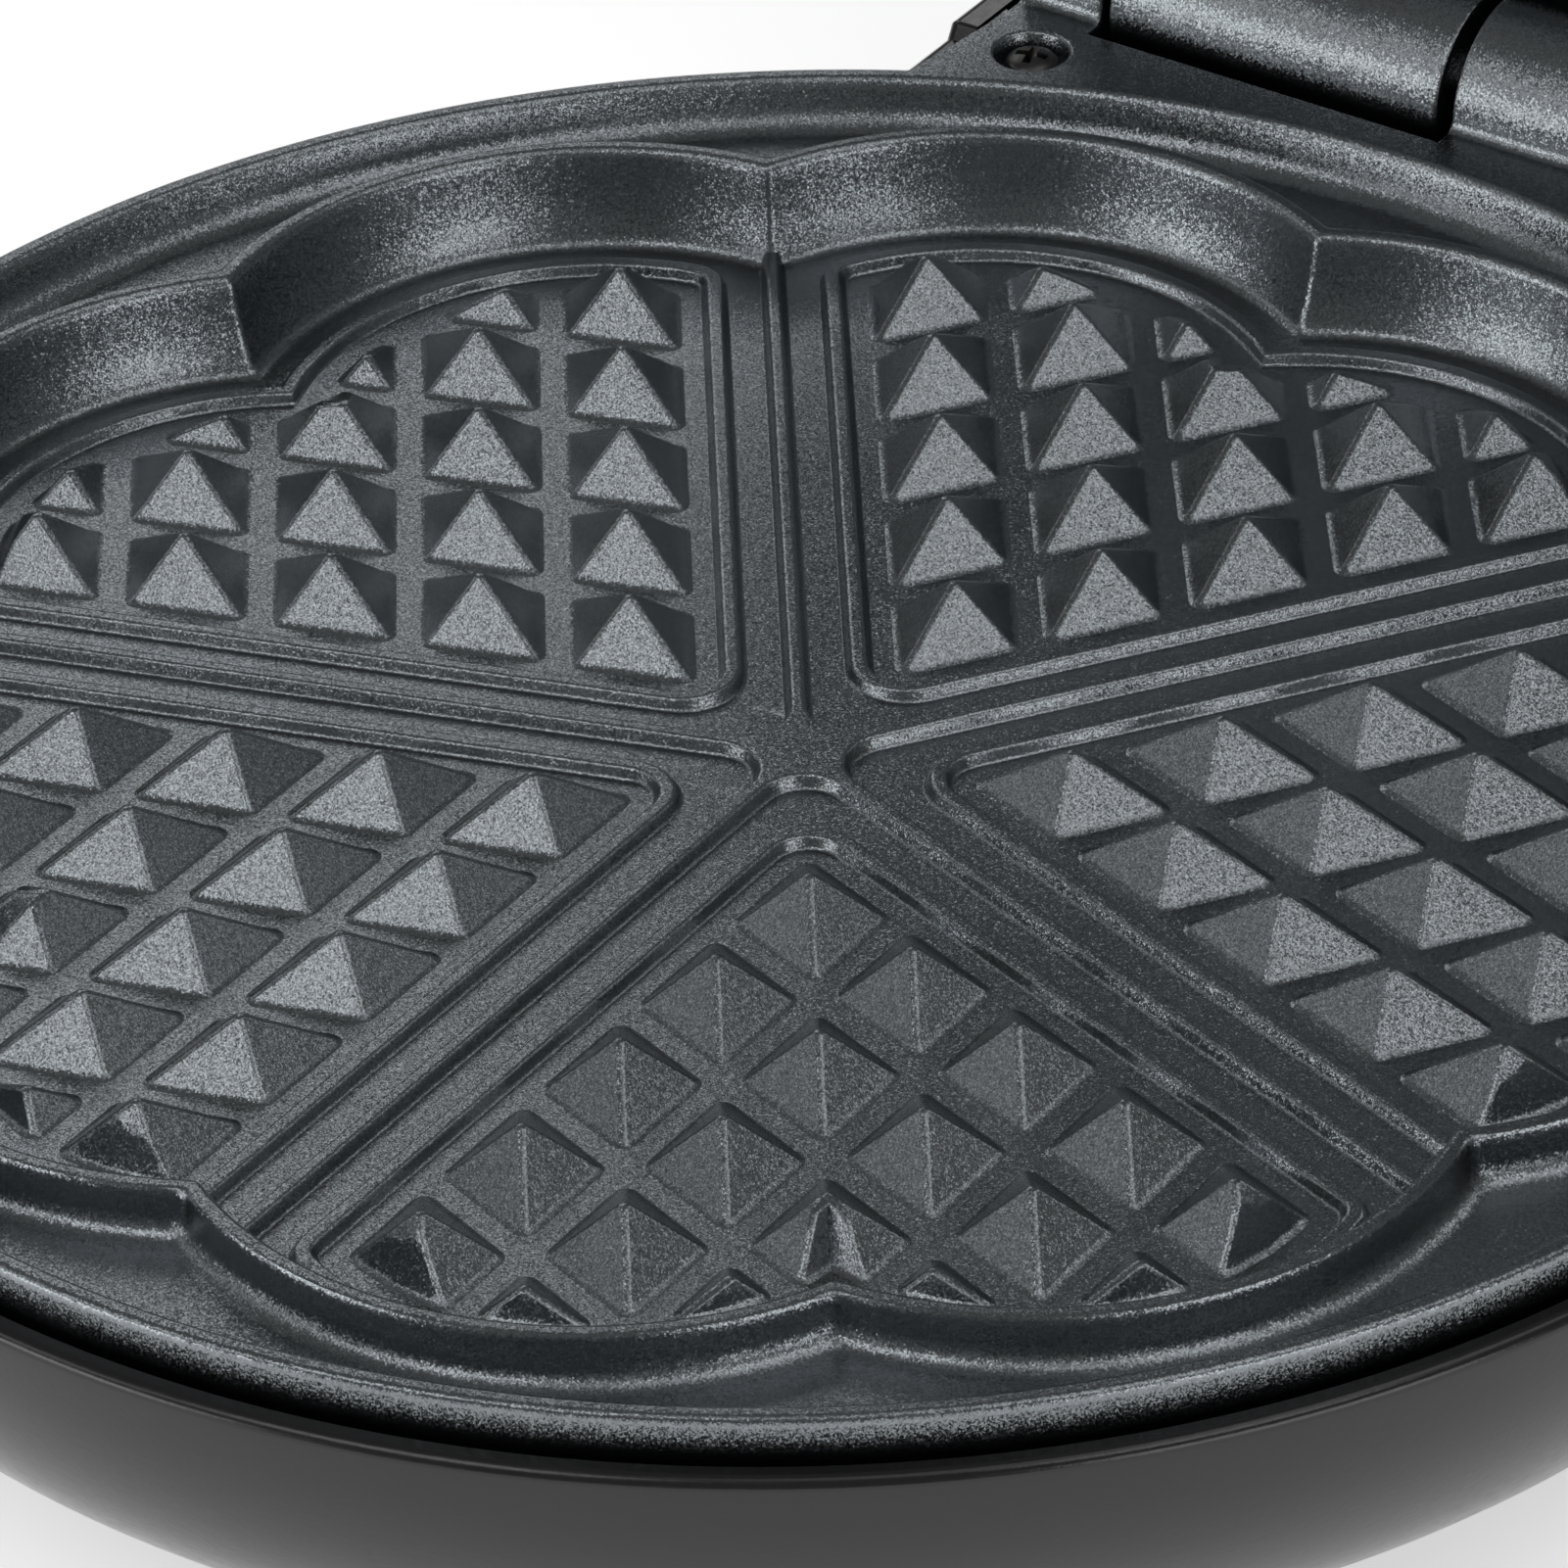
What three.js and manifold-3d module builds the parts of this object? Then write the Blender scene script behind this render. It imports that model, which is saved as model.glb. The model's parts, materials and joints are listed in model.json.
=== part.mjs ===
// Heart waffle maker, standing open: a round electric iron with two cast plates.
// Units are millimetres, +Z is up, +X is to the right and the hinge is at +Y.
// Both plates are the same casting; the upper one is turned half a turn about Y.

import * as THREE from 'three';
import { mergeVertices } from 'three/addons/utils/BufferGeometryUtils.js';
import Module from 'manifold-3d';

const wasm = await Module();
wasm.setup();

// ---- driving dimensions ---------------------------------------------------------------

const PARTING_Z = 40;             // height of the plane where the closed plates meet
const FOOT_HEIGHT = 6;
const OPEN_ANGLE = THREE.MathUtils.degToRad(105);
const FIT_GAP = 0.3;              // clearance between pieces that touch

// Waffle pattern: five hearts between five arms. Heights are below the parting plane.
const ARM_COUNT = 5;
const ARM_STEP = 2 * Math.PI / ARM_COUNT;
const FIRST_ARM = -Math.PI / 2;
const LOBE_HALF_ANGLE = ARM_STEP / 4;
const LOBE_CENTRE_R = 53.5;       // distance of each lobe's arc centre from the middle
const LOBE_FOOT_R = 31.1;         // lobe radius at the pattern floor
const LOBE_TOP_R = 33.6;          // lobe radius at the top of the lip
const LIP_TOP_R = 35.1;
const LIP_FOOT_R = 35.7;
const LOBE_STEPS = 4;
const FLOOR_Z = -9;
const LIP_Z = -0.4;
const LAND_Z = -4.5;
const RIM_Z = -0.2;
const UNDERSIDE_Z = -13;
const RIM_R = 96.9;

// Pyramids stand on a rhombic grid laid along two neighbouring arms.
const PYRAMID_PITCH = 13;
const PYRAMID_FIRST = 14.06;      // first apex, measured along each of the two arms
const PYRAMID_BASE = 9.94;
const PYRAMID_HEIGHT = 4.71;
const PYRAMID_ROWS = 5;
const FIELD_FOOT_R = 24.1;        // lobe radius where the outer pyramids are cut off
const FIELD_TOP_R = 21.9;
const SINK = 0.5;                 // how far raised features reach down into the floor

// A low bead runs round each heart and a low ridge along each arm.
const BEAD = { armOuter: 4.0, armInner: 6.4, lobeOuter: 28.2, lobeInner: 25.8, height: 1.0, taper: 0.7 };
const RIDGE = { half: 1.15, topHalf: 0.4, height: 1.15, end: 78.5 };

// Hinge: knuckles of both plates share one steel pin.
const HINGE_Y = 110;
const KNUCKLE_R = 8.8;
const PIN_R = 2.5;
const PIN_BORE_R = 2.75;
const LUG_HALF = 44.3;
const LUG_BACK_Y = 98.7;
const LUG_BOTTOM_Z = -9.7;
const EAR = { from: -44.2, to: -35.6 };
const KNUCKLE = { from: 0.7, to: 35 };
const PLATE_SCREW = { x: 38.2, y: 93.6 };

// Housings: two bowls with a block for the hinge at the back.
const HOUSING_R = 100;
const HOUSING_FLAT_R = 76;
const HOUSING_WALL = 1.8;
const HOUSING_EDGE_DROP = 3.5;    // housing edge below the parting plane
const HOUSING_BOTTOM_Z = FOOT_HEIGHT - PARTING_Z;
const BLOCK_HALF = 49.5;
const BLOCK_FRONT_Y = 97.3;
const LOWER_BLOCK_BACK_Y = 124;
const UPPER_BLOCK_BACK_Y = 108;
const CHEEK_DROP = 2.1;           // top of the hinge block below the parting plane
const TROUGH_HALF = 46.5;
const TROUGH_DEPTH = 10;
const BLOCK_WALL = 2.5;

// ---- materials --------------------------------------------------------------------------

const paint = (color, roughness, metalness) => new THREE.MeshStandardMaterial({ color, roughness, metalness });
const nonStick = paint(0x4d5156, 0.42, 0.35);
const darkPlastic = paint(0x2b2a2a, 0.45, 0.0);
const handlePlastic = paint(0x232323, 0.5, 0.0);
const blackSteel = paint(0x262524, 0.35, 0.8);
const brightSteel = paint(0xb4b6b8, 0.3, 0.9);
const elementSteel = paint(0x6c655d, 0.5, 0.8);
const shieldSteel = paint(0x9fa3a6, 0.4, 0.9);
const footRubber = paint(0x1a1a1a, 0.9, 0.0);
const ceramic = paint(0xe4dfd2, 0.6, 0.0);
const redLens = paint(0xb01c12, 0.2, 0.0);
const greenLens = paint(0x1d8a3a, 0.2, 0.0);
const leadSleeve = paint(0x8f8a80, 0.8, 0.0);

// ---- solid helpers ----------------------------------------------------------------------

// A closed three.js geometry as a manifold solid.
function solid(geometry) {
  const bare = geometry.clone();
  bare.deleteAttribute('normal');
  bare.deleteAttribute('uv');
  const merged = mergeVertices(bare, 1e-4);
  const source = merged.index.array;
  const triangles = [];
  for (let i = 0; i < source.length; i += 3) {
    const [a, b, c] = [source[i], source[i + 1], source[i + 2]];
    if (a !== b && b !== c && c !== a) triangles.push(a, b, c);
  }
  return new wasm.Manifold(new wasm.Mesh({
    numProp: 3,
    vertProperties: new Float32Array(merged.attributes.position.array),
    triVerts: new Uint32Array(triangles),
  }));
}

function piece(name, shape, material) {
  const result = shape.getMesh();
  const geometry = new THREE.BufferGeometry();
  geometry.setAttribute('position', new THREE.BufferAttribute(new Float32Array(result.vertProperties), 3));
  geometry.setIndex(new THREE.BufferAttribute(new Uint32Array(result.triVerts), 1));
  geometry.computeVertexNormals();
  const mesh = new THREE.Mesh(geometry, material);
  mesh.name = name;
  return mesh;
}

function joined(shapes) {
  return shapes.reduce((sum, shape) => sum.add(shape));
}

// A box between two corners.
function block(low, high) {
  const size = high.map((value, axis) => value - low[axis]);
  const geometry = new THREE.BoxGeometry(...size);
  geometry.translate(low[0] + size[0] / 2, low[1] + size[1] / 2, low[2] + size[2] / 2);
  return solid(geometry);
}

// A solid of revolution about Z from [radius, height] points that start and end on the axis.
function turned(profile, segments = 32) {
  const points = profile.map(([radius, height]) => new THREE.Vector2(radius, height));
  const geometry = new THREE.LatheGeometry(points, segments);
  geometry.rotateX(Math.PI / 2);
  return solid(geometry);
}

// A round bar along Z.
function bar(radius, from, to, segments = 20) {
  return turned([[0, from], [radius, from], [radius, to], [0, to]], segments);
}

// Turns a solid made along Z so that it lies along X.
function alongX(shape) {
  return shape.rotate([0, 90, 0]);
}

// Joins plan outlines with the same number of points, each at its own height, into a solid.
function lofted(sections) {
  const count = sections[0].outline.length;
  const positions = [];
  for (const { outline, z } of sections) {
    for (const point of outline) positions.push(point.x, point.y, z);
  }
  const indices = [];
  for (let level = 0; level + 1 < sections.length; level += 1) {
    for (let i = 0; i < count; i += 1) {
      const a = level * count + i;
      const b = level * count + (i + 1) % count;
      indices.push(a, b, b + count, a, b + count, a + count);
    }
  }
  const caps = THREE.ShapeUtils.triangulateShape(sections[0].outline, []);
  const top = (sections.length - 1) * count;
  for (const [a, b, c] of caps) {
    indices.push(c, b, a);
    indices.push(top + a, top + b, top + c);
  }
  const geometry = new THREE.BufferGeometry();
  geometry.setAttribute('position', new THREE.Float32BufferAttribute(positions, 3));
  geometry.setIndex(indices);
  return solid(geometry);
}

function polar(radius, angle) {
  return new THREE.Vector2(radius * Math.cos(angle), radius * Math.sin(angle));
}

function extruded(shape, depth, bevel = 0) {
  const options = {
    depth: depth - 2 * bevel,
    bevelEnabled: bevel > 0,
    bevelThickness: bevel,
    bevelSize: bevel,
    bevelOffset: -bevel,
    bevelSegments: 1,
    curveSegments: 8,
  };
  const geometry = new THREE.ExtrudeGeometry(shape, options);
  geometry.translate(0, 0, bevel);
  return solid(geometry);
}

// A tube of six sides along a smooth line through the given points.
function tube(points, radius, steps) {
  const path = new THREE.CatmullRomCurve3(points.map((point) => new THREE.Vector3(...point)), false, 'centripetal');
  const sides = 6;
  const section = new THREE.Shape(Array.from({ length: sides }, (_, i) => polar(radius, i * 2 * Math.PI / sides)));
  return solid(new THREE.ExtrudeGeometry(section, { steps, extrudePath: path, bevelEnabled: false }));
}

// ---- plate casting, drawn with the parting plane at z = 0 --------------------------------

// Angle from a lobe's own axis to the cusp where it meets the next lobe.
function cuspAngle(radius) {
  const across = LOBE_CENTRE_R * Math.sin(LOBE_HALF_ANGLE);
  const reach = LOBE_CENTRE_R * Math.cos(LOBE_HALF_ANGLE) + Math.sqrt(radius ** 2 - across ** 2);
  const cusp = polar(reach, LOBE_HALF_ANGLE);
  return Math.atan2(cusp.y, cusp.x - LOBE_CENTRE_R);
}

function lobeArc(axis, radius, from, to, steps) {
  const centre = polar(LOBE_CENTRE_R, axis);
  return Array.from({ length: steps + 1 }, (_, i) => {
    const angle = axis + from + (to - from) * i / steps;
    return polar(radius, angle).add(centre);
  });
}

// The ten-lobed outline round all five hearts.
function lobedOutline(radius) {
  const cusp = cuspAngle(radius);
  const points = [];
  for (let lobe = 0; lobe < 2 * ARM_COUNT; lobe += 1) {
    const axis = FIRST_ARM + LOBE_HALF_ANGLE * (2 * lobe + 1);
    points.push(...lobeArc(axis, radius, -cusp, cusp, LOBE_STEPS).slice(0, -1));
  }
  return points;
}

// One heart: two sides at a distance from its arms and two lobes of the given radius.
function heartOutline(arm, armDistance, radius) {
  const nextArm = arm + ARM_STEP;
  const centreAcross = LOBE_CENTRE_R * Math.sin(LOBE_HALF_ANGLE);
  const along = Math.sqrt(radius ** 2 - (centreAcross - armDistance) ** 2);
  const sideAngle = Math.atan2(armDistance - centreAcross, along) - LOBE_HALF_ANGLE;
  const cusp = cuspAngle(radius);
  const tip = polar(armDistance / Math.sin(ARM_STEP / 2), arm + ARM_STEP / 2);
  const first = lobeArc(arm + LOBE_HALF_ANGLE, radius, sideAngle, cusp, LOBE_STEPS);
  const second = lobeArc(nextArm - LOBE_HALF_ANGLE, radius, -cusp, -sideAngle, LOBE_STEPS);
  return [tip, ...first, ...second.slice(1)];
}

function pyramid(centre, first, second) {
  const half = PYRAMID_BASE / 2 * (1 + SINK / PYRAMID_HEIGHT);
  const longDiagonal = first.clone().add(second).multiplyScalar(half);
  const shortDiagonal = second.clone().sub(first).multiplyScalar(half);
  const cone = new THREE.ConeGeometry(1, PYRAMID_HEIGHT + SINK, 4);
  cone.rotateX(Math.PI / 2);
  cone.translate(0, 0, (PYRAMID_HEIGHT + SINK) / 2);
  const skew = new THREE.Matrix4().makeBasis(
    new THREE.Vector3(longDiagonal.x, longDiagonal.y, 0),
    new THREE.Vector3(shortDiagonal.x, shortDiagonal.y, 0),
    new THREE.Vector3(0, 0, 1),
  );
  cone.applyMatrix4(skew.setPosition(centre.x, centre.y, FLOOR_Z - SINK));
  return solid(cone);
}

// All the pyramids of one heart that stand inside the field.
function heartPyramids(arm) {
  const first = polar(1, arm);
  const second = polar(1, arm + ARM_STEP);
  const shapes = [];
  for (let i = 0; i < PYRAMID_ROWS; i += 1) {
    for (let j = 0; j < PYRAMID_ROWS; j += 1) {
      const centre = first.clone().multiplyScalar(PYRAMID_FIRST + i * PYRAMID_PITCH)
        .addScaledVector(second, PYRAMID_FIRST + j * PYRAMID_PITCH);
      if (centre.length() < HOUSING_R) shapes.push(pyramid(centre, first, second));
    }
  }
  return joined(shapes);
}

function heartBead(arm) {
  const { armOuter, armInner, lobeOuter, lobeInner, height, taper } = BEAD;
  const top = FLOOR_Z + height;
  const outer = lofted([
    { outline: heartOutline(arm, armOuter, lobeOuter), z: FLOOR_Z - SINK },
    { outline: heartOutline(arm, armOuter + taper, lobeOuter - taper), z: top },
  ]);
  const inner = lofted([
    { outline: heartOutline(arm, armInner + SINK, lobeInner - SINK), z: FLOOR_Z - SINK - 0.1 },
    { outline: heartOutline(arm, armInner - taper, lobeInner + taper), z: top + 0.1 },
  ]);
  return outer.subtract(inner);
}

function armRidge(arm) {
  const { half, topHalf, height, end } = RIDGE;
  const along = polar(1, arm);
  const across = polar(1, arm + Math.PI / 2);
  const strip = (width) => [[0, -width], [end, -width], [end, width], [0, width]]
    .map(([reach, side]) => along.clone().multiplyScalar(reach).addScaledVector(across, side));
  return lofted([
    { outline: strip(half + SINK), z: FLOOR_Z - SINK },
    { outline: strip(topHalf), z: FLOOR_Z + height },
  ]);
}

// Round tray with its rim and overflow channel, before the hearts are sunk into it.
function plateBlank() {
  return turned([
    [0, UNDERSIDE_Z], [86.5, UNDERSIDE_Z], [90.5, -8.7], [95.6, -8.2], [RIM_R, -7],
    [RIM_R, -0.9], [96.2, RIM_Z], [95.5, RIM_Z], [94.4, -3], [92.4, LAND_Z], [0, LAND_Z],
  ], 40);
}

function waffleBed(blank) {
  const lip = lofted([
    { outline: lobedOutline(LIP_FOOT_R), z: LAND_Z - SINK },
    { outline: lobedOutline(LIP_TOP_R), z: LIP_Z },
  ]);
  const overshoot = 1;
  const draft = (LOBE_TOP_R - LOBE_FOOT_R) / (LIP_Z - FLOOR_Z);
  const cavity = lofted([
    { outline: lobedOutline(LOBE_FOOT_R), z: FLOOR_Z },
    { outline: lobedOutline(LOBE_TOP_R + draft * overshoot), z: LIP_Z + overshoot },
  ]);
  const field = lofted([
    { outline: lobedOutline(FIELD_FOOT_R), z: FLOOR_Z - 2 * SINK },
    { outline: lobedOutline(FIELD_TOP_R), z: FLOOR_Z + PYRAMID_HEIGHT },
  ]);
  const arms = Array.from({ length: ARM_COUNT }, (_, k) => FIRST_ARM + k * ARM_STEP);
  const pyramids = joined(arms.map(heartPyramids)).intersect(field);
  const raised = joined([pyramids, ...arms.map(heartBead), ...arms.map(armRidge)]);
  return blank.add(lip).subtract(cavity).add(raised);
}

function knuckle({ from, to }) {
  const barrel = alongX(bar(KNUCKLE_R, from, to, 24)).translate([0, HINGE_Y, 0]);
  const web = block([from, LUG_BACK_Y - 1, -KNUCKLE_R + 0.3], [to, HINGE_Y, RIM_Z]);
  return barrel.add(web);
}

function hingeLug() {
  const lug = block([-LUG_HALF, 60, LUG_BOTTOM_Z], [LUG_HALF, LUG_BACK_Y, RIM_Z]);
  const inside = bar(RIM_R - 1.2, LUG_BOTTOM_Z - 1, 1, 40);
  return lug.subtract(inside);
}

function plateScrewHoles() {
  const shank = bar(2.3, -20, 1, 16);
  const dish = turned([[0, -2.3], [2.9, -2.3], [3.55, RIM_Z], [3.6, 0], [0, 0]], 20);
  const hole = shank.add(dish);
  return joined([-1, 1].map((side) => hole.translate([side * PLATE_SCREW.x, PLATE_SCREW.y, 0])));
}

const SHIELD_POSTS = [[-34, -26], [34, -26]];

function shieldPosts() {
  return joined(SHIELD_POSTS.map(([x, y]) => bar(4, UNDERSIDE_Z - 10, UNDERSIDE_Z + 1, 12).translate([x, y, 0])))
    .subtract(joined(SHIELD_POSTS.map(([x, y]) => bar(1.6, UNDERSIDE_Z - 11, UNDERSIDE_Z - 2, 10)
      .translate([x, y, 0]))));
}

function plateCasting() {
  const pinBore = alongX(bar(PIN_BORE_R, -60, 60, 16)).translate([0, HINGE_Y, 0]);
  return waffleBed(plateBlank())
    .add(hingeLug())
    .add(knuckle(EAR))
    .add(knuckle(KNUCKLE))
    .subtract(pinBore)
    .subtract(plateScrewHoles())
    .add(shieldPosts());
}

// ---- parts that both halves share, drawn below the parting plane --------------------------

// Outer side of the bowl: a quarter ellipse from the flat bottom up to the edge.
function bowlSide(inset, steps = 5) {
  const height = -HOUSING_EDGE_DROP - HOUSING_BOTTOM_Z;
  return Array.from({ length: steps + 1 }, (_, i) => {
    const angle = i / steps * Math.PI / 2;
    const radius = HOUSING_FLAT_R + (HOUSING_R - HOUSING_FLAT_R) * Math.sin(angle) - inset;
    const lift = inset * Math.cos(angle);
    return [radius, HOUSING_BOTTOM_Z + height * (1 - Math.cos(angle)) + lift];
  });
}

// A self-tapping screw pointing down: pan head with a cross recess.
function crossScrew(headR, shankR, length) {
  const profile = [[0, -length], [shankR, -length], [shankR, -1.6], [headR, -1.6], [headR, -0.9],
    [headR * 0.6, -0.2], [0, -0.05]];
  const slot = headR * 0.62;
  const recess = block([-slot, -0.45, -1.1], [slot, 0.45, 1]).add(block([-0.45, -slot, -1.1], [0.45, slot, 1]));
  return turned(profile, 8).subtract(recess);
}

// Tubular heater: an open ring under the plate with both ends led out to the back.
function heatingElement() {
  const z = UNDERSIDE_Z - FIT_GAP - 3.3;
  const ringR = 72;
  const ringPoints = 14;
  const ends = [[9, 86, z], [9, 79, z]];
  const ring = [];
  for (let i = 0; i <= ringPoints; i += 1) {
    const degrees = 72 - i * 324 / ringPoints;
    const point = polar(ringR, THREE.MathUtils.degToRad(degrees));
    ring.push([point.x, point.y, z]);
  }
  const back = ends.map(([x, y, height]) => [-x, y, height]).reverse();
  return tube([...ends, ...ring, ...back], 3.2, 32);
}

// Dished steel sheet that keeps the heat off the housing.
function heatShield(holes) {
  const z = UNDERSIDE_Z - 10 - FIT_GAP - 0.8;
  const sheet = turned([
    [0, z], [78, z], [82, z + 2.8], [82, z + 3.8], [77.7, z + 0.8], [0, z + 0.8],
  ], 32);
  const screwHoles = SHIELD_POSTS.map(([x, y]) => bar(1.9, z - 1, z + 2, 10).translate([x, y, 0]));
  return sheet.subtract(joined([...screwHoles, ...holes]));
}

function thermalFuse() {
  const body = bar(2.2, -6, 6, 10);
  const wire = bar(0.6, -11, 11, 6);
  return alongX(body.add(wire)).translate([20, 8, UNDERSIDE_Z - FIT_GAP - 2.4]);
}

function shieldScrew() {
  const turnedUp = crossScrew(3, 1.35, 9).rotate([180, 0, 0]);
  return turnedUp.translate([0, 0, UNDERSIDE_Z - 10 - FIT_GAP - 0.8 - FIT_GAP - 1.6]);
}

// Adds what each half has: plate, heater, shield, fuse and their screws.
function fillHalf(half, prefix, shieldHoles) {
  half.add(piece(`${prefix}_plate`, plateCasting(), nonStick));
  half.add(piece(`${prefix}_heating_element`, heatingElement(), elementSteel));
  half.add(piece(`${prefix}_heat_shield`, heatShield(shieldHoles), shieldSteel));
  half.add(piece(`${prefix}_thermal_fuse`, thermalFuse(), ceramic));
  for (const [side, x] of [['left', -PLATE_SCREW.x], ['right', PLATE_SCREW.x]]) {
    const screw = piece(`${prefix}_plate_screw_${side}`, crossScrew(2.5, 1.7, 17), blackSteel);
    screw.position.set(x, PLATE_SCREW.y, RIM_Z - 0.2);
    half.add(screw);
  }
  SHIELD_POSTS.forEach(([x, y], index) => {
    const screw = piece(`${prefix}_shield_screw_${index + 1}`, shieldScrew(), brightSteel);
    screw.position.set(x, y, 0);
    half.add(screw);
  });
}

// ---- lower half ---------------------------------------------------------------------------

const COVER_R = 64.5;
const OPENING_R = 55;
const COVER_SCREW_R = 60;
const COVER_SCREW_ANGLES = [90, 210, 330];
const FEET = { front_left: [-46, -54], front_right: [46, -54], rear_left: [-38, 110], rear_right: [38, 110] };
const GLAND = { x: 24, z: -22 };

function lowerHousing() {
  const top = -HOUSING_EDGE_DROP;
  const outer = turned([[0, HOUSING_BOTTOM_Z], ...bowlSide(0), [0, top]], 40)
    .add(block([-BLOCK_HALF, 60, HOUSING_BOTTOM_Z], [BLOCK_HALF, LOWER_BLOCK_BACK_Y, top]))
    .add(block([-BLOCK_HALF, BLOCK_FRONT_Y, HOUSING_BOTTOM_Z], [BLOCK_HALF, LOWER_BLOCK_BACK_Y, -CHEEK_DROP]));
  const inside = turned([[0, HOUSING_BOTTOM_Z + HOUSING_WALL], ...bowlSide(HOUSING_WALL),
    [HOUSING_R - HOUSING_WALL, 5], [0, 5]], 40);
  const blockInside = block([-BLOCK_HALF + BLOCK_WALL, 60, HOUSING_BOTTOM_Z + BLOCK_WALL],
    [BLOCK_HALF - BLOCK_WALL, LOWER_BLOCK_BACK_Y - BLOCK_WALL, -TROUGH_DEPTH - BLOCK_WALL]);
  const trough = block([-TROUGH_HALF, 60, -TROUGH_DEPTH], [TROUGH_HALF, LOWER_BLOCK_BACK_Y - BLOCK_WALL, 5]);
  const opening = bar(OPENING_R, HOUSING_BOTTOM_Z - 1, HOUSING_BOTTOM_Z + 5, 48);
  const glandHole = bar(5.4, 0, 10, 16).rotate([-90, 0, 0])
    .translate([GLAND.x, LOWER_BLOCK_BACK_Y - 5, GLAND.z]);
  const screwPosts = [-1, 1].map((side) => bar(4.5, HOUSING_BOTTOM_Z + 1, -TROUGH_DEPTH, 14)
    .translate([side * PLATE_SCREW.x, PLATE_SCREW.y, 0]));
  const coverPosts = COVER_SCREW_ANGLES.map((degrees) => coverScrewSpot(degrees, bar(3.6, HOUSING_BOTTOM_Z + 0.5,
    HOUSING_BOTTOM_Z + 9, 12)));
  const screwHoles = [-1, 1].map((side) => bar(2.1, -19, 2, 10)
    .translate([side * PLATE_SCREW.x, PLATE_SCREW.y, 0]));
  const coverHoles = COVER_SCREW_ANGLES.map((degrees) => coverScrewSpot(degrees, bar(1.7, HOUSING_BOTTOM_Z - 1,
    HOUSING_BOTTOM_Z + 8, 10)));
  return outer.subtract(joined([inside, blockInside, trough, opening, glandHole]))
    .add(joined([...screwPosts, ...coverPosts]))
    .subtract(joined([...screwHoles, ...coverHoles]));
}

function coverScrewSpot(degrees, shape) {
  const spot = polar(COVER_SCREW_R, THREE.MathUtils.degToRad(degrees));
  return shape.translate([spot.x, spot.y, 0]);
}

// Bottom cover with a ring of vent slots.
function baseCover() {
  const low = HOUSING_BOTTOM_Z - FIT_GAP - 1.8;
  const high = HOUSING_BOTTOM_Z - FIT_GAP;
  const disc = turned([[0, low], [COVER_R - 0.8, low], [COVER_R, low + 0.8], [COVER_R, high], [0, high]], 48);
  const slots = [];
  const slotCount = 6;
  for (let i = 0; i < slotCount; i += 1) {
    const slot = block([20, -2, low - 1], [42, 2, high + 1]);
    slots.push(slot.rotate([0, 0, i * 360 / slotCount]));
  }
  const holes = COVER_SCREW_ANGLES.map((degrees) => coverScrewSpot(degrees, bar(1.9, low - 1, high + 1, 10)));
  return disc.subtract(joined([...slots, ...holes]));
}

function foot() {
  const top = HOUSING_BOTTOM_Z - FIT_GAP;
  const sole = -PARTING_Z;
  return turned([[0, sole], [5.2, sole], [6, sole + 0.8], [6.6, top], [0, top]], 20);
}

function cordGland() {
  const bushing = turned([
    [3.4, -3.5], [6.6, -3.5], [6.6, -FIT_GAP], [5, -FIT_GAP], [5, BLOCK_WALL + FIT_GAP],
    [7.5, BLOCK_WALL + FIT_GAP], [7.5, BLOCK_WALL + 1.6], [6, BLOCK_WALL + 3], [3.4, BLOCK_WALL + 3], [3.4, -3.5],
  ], 14);
  return bushing.rotate([-90, 0, 0]).translate([GLAND.x, LOWER_BLOCK_BACK_Y - BLOCK_WALL, GLAND.z]);
}

function terminalBlock() {
  const body = block([-17, 100, HOUSING_BOTTOM_Z + 3], [17, 110, HOUSING_BOTTOM_Z + 14]);
  const wells = [-11, 0, 11].map((x) => bar(2.4, HOUSING_BOTTOM_Z + 9, HOUSING_BOTTOM_Z + 16, 10)
    .translate([x, 105, 0]));
  return body.subtract(joined(wells));
}

// Sleeved lead from one end of the lower heater to the terminal block.
function elementLead(side) {
  const z = UNDERSIDE_Z - FIT_GAP - 3.3;
  return tube([
    [side * 9, 86.4, z], [side * 9.3, 90, z - 0.5], [side * 10.2, 94, z - 4], [side * 11, 99.3, z - 6.5],
  ], 1.3, 8);
}

// Headed pin through all four knuckles, with a groove for its retaining ring.
function hingePin() {
  const end = 46;
  return alongX(turned([
    [0, -end], [3.4, -end], [4, -end + 0.5], [4, -end + 1.4], [PIN_R, -end + 1.4], [PIN_R, 44.7],
    [2, 44.7], [2, 45.4], [PIN_R, 45.4], [PIN_R - 0.4, end], [0, end],
  ], 14)).translate([0, HINGE_Y, 0]);
}

function retainingRing() {
  const ring = new THREE.Shape();
  const gap = 0.6;
  ring.absarc(0, 0, 4.1, gap, 2 * Math.PI - gap, false);
  ring.absarc(0, 0, 2.15, 2 * Math.PI - gap, gap, true);
  return alongX(extruded(ring, 0.5)).translate([44.8, HINGE_Y, 0]);
}

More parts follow.
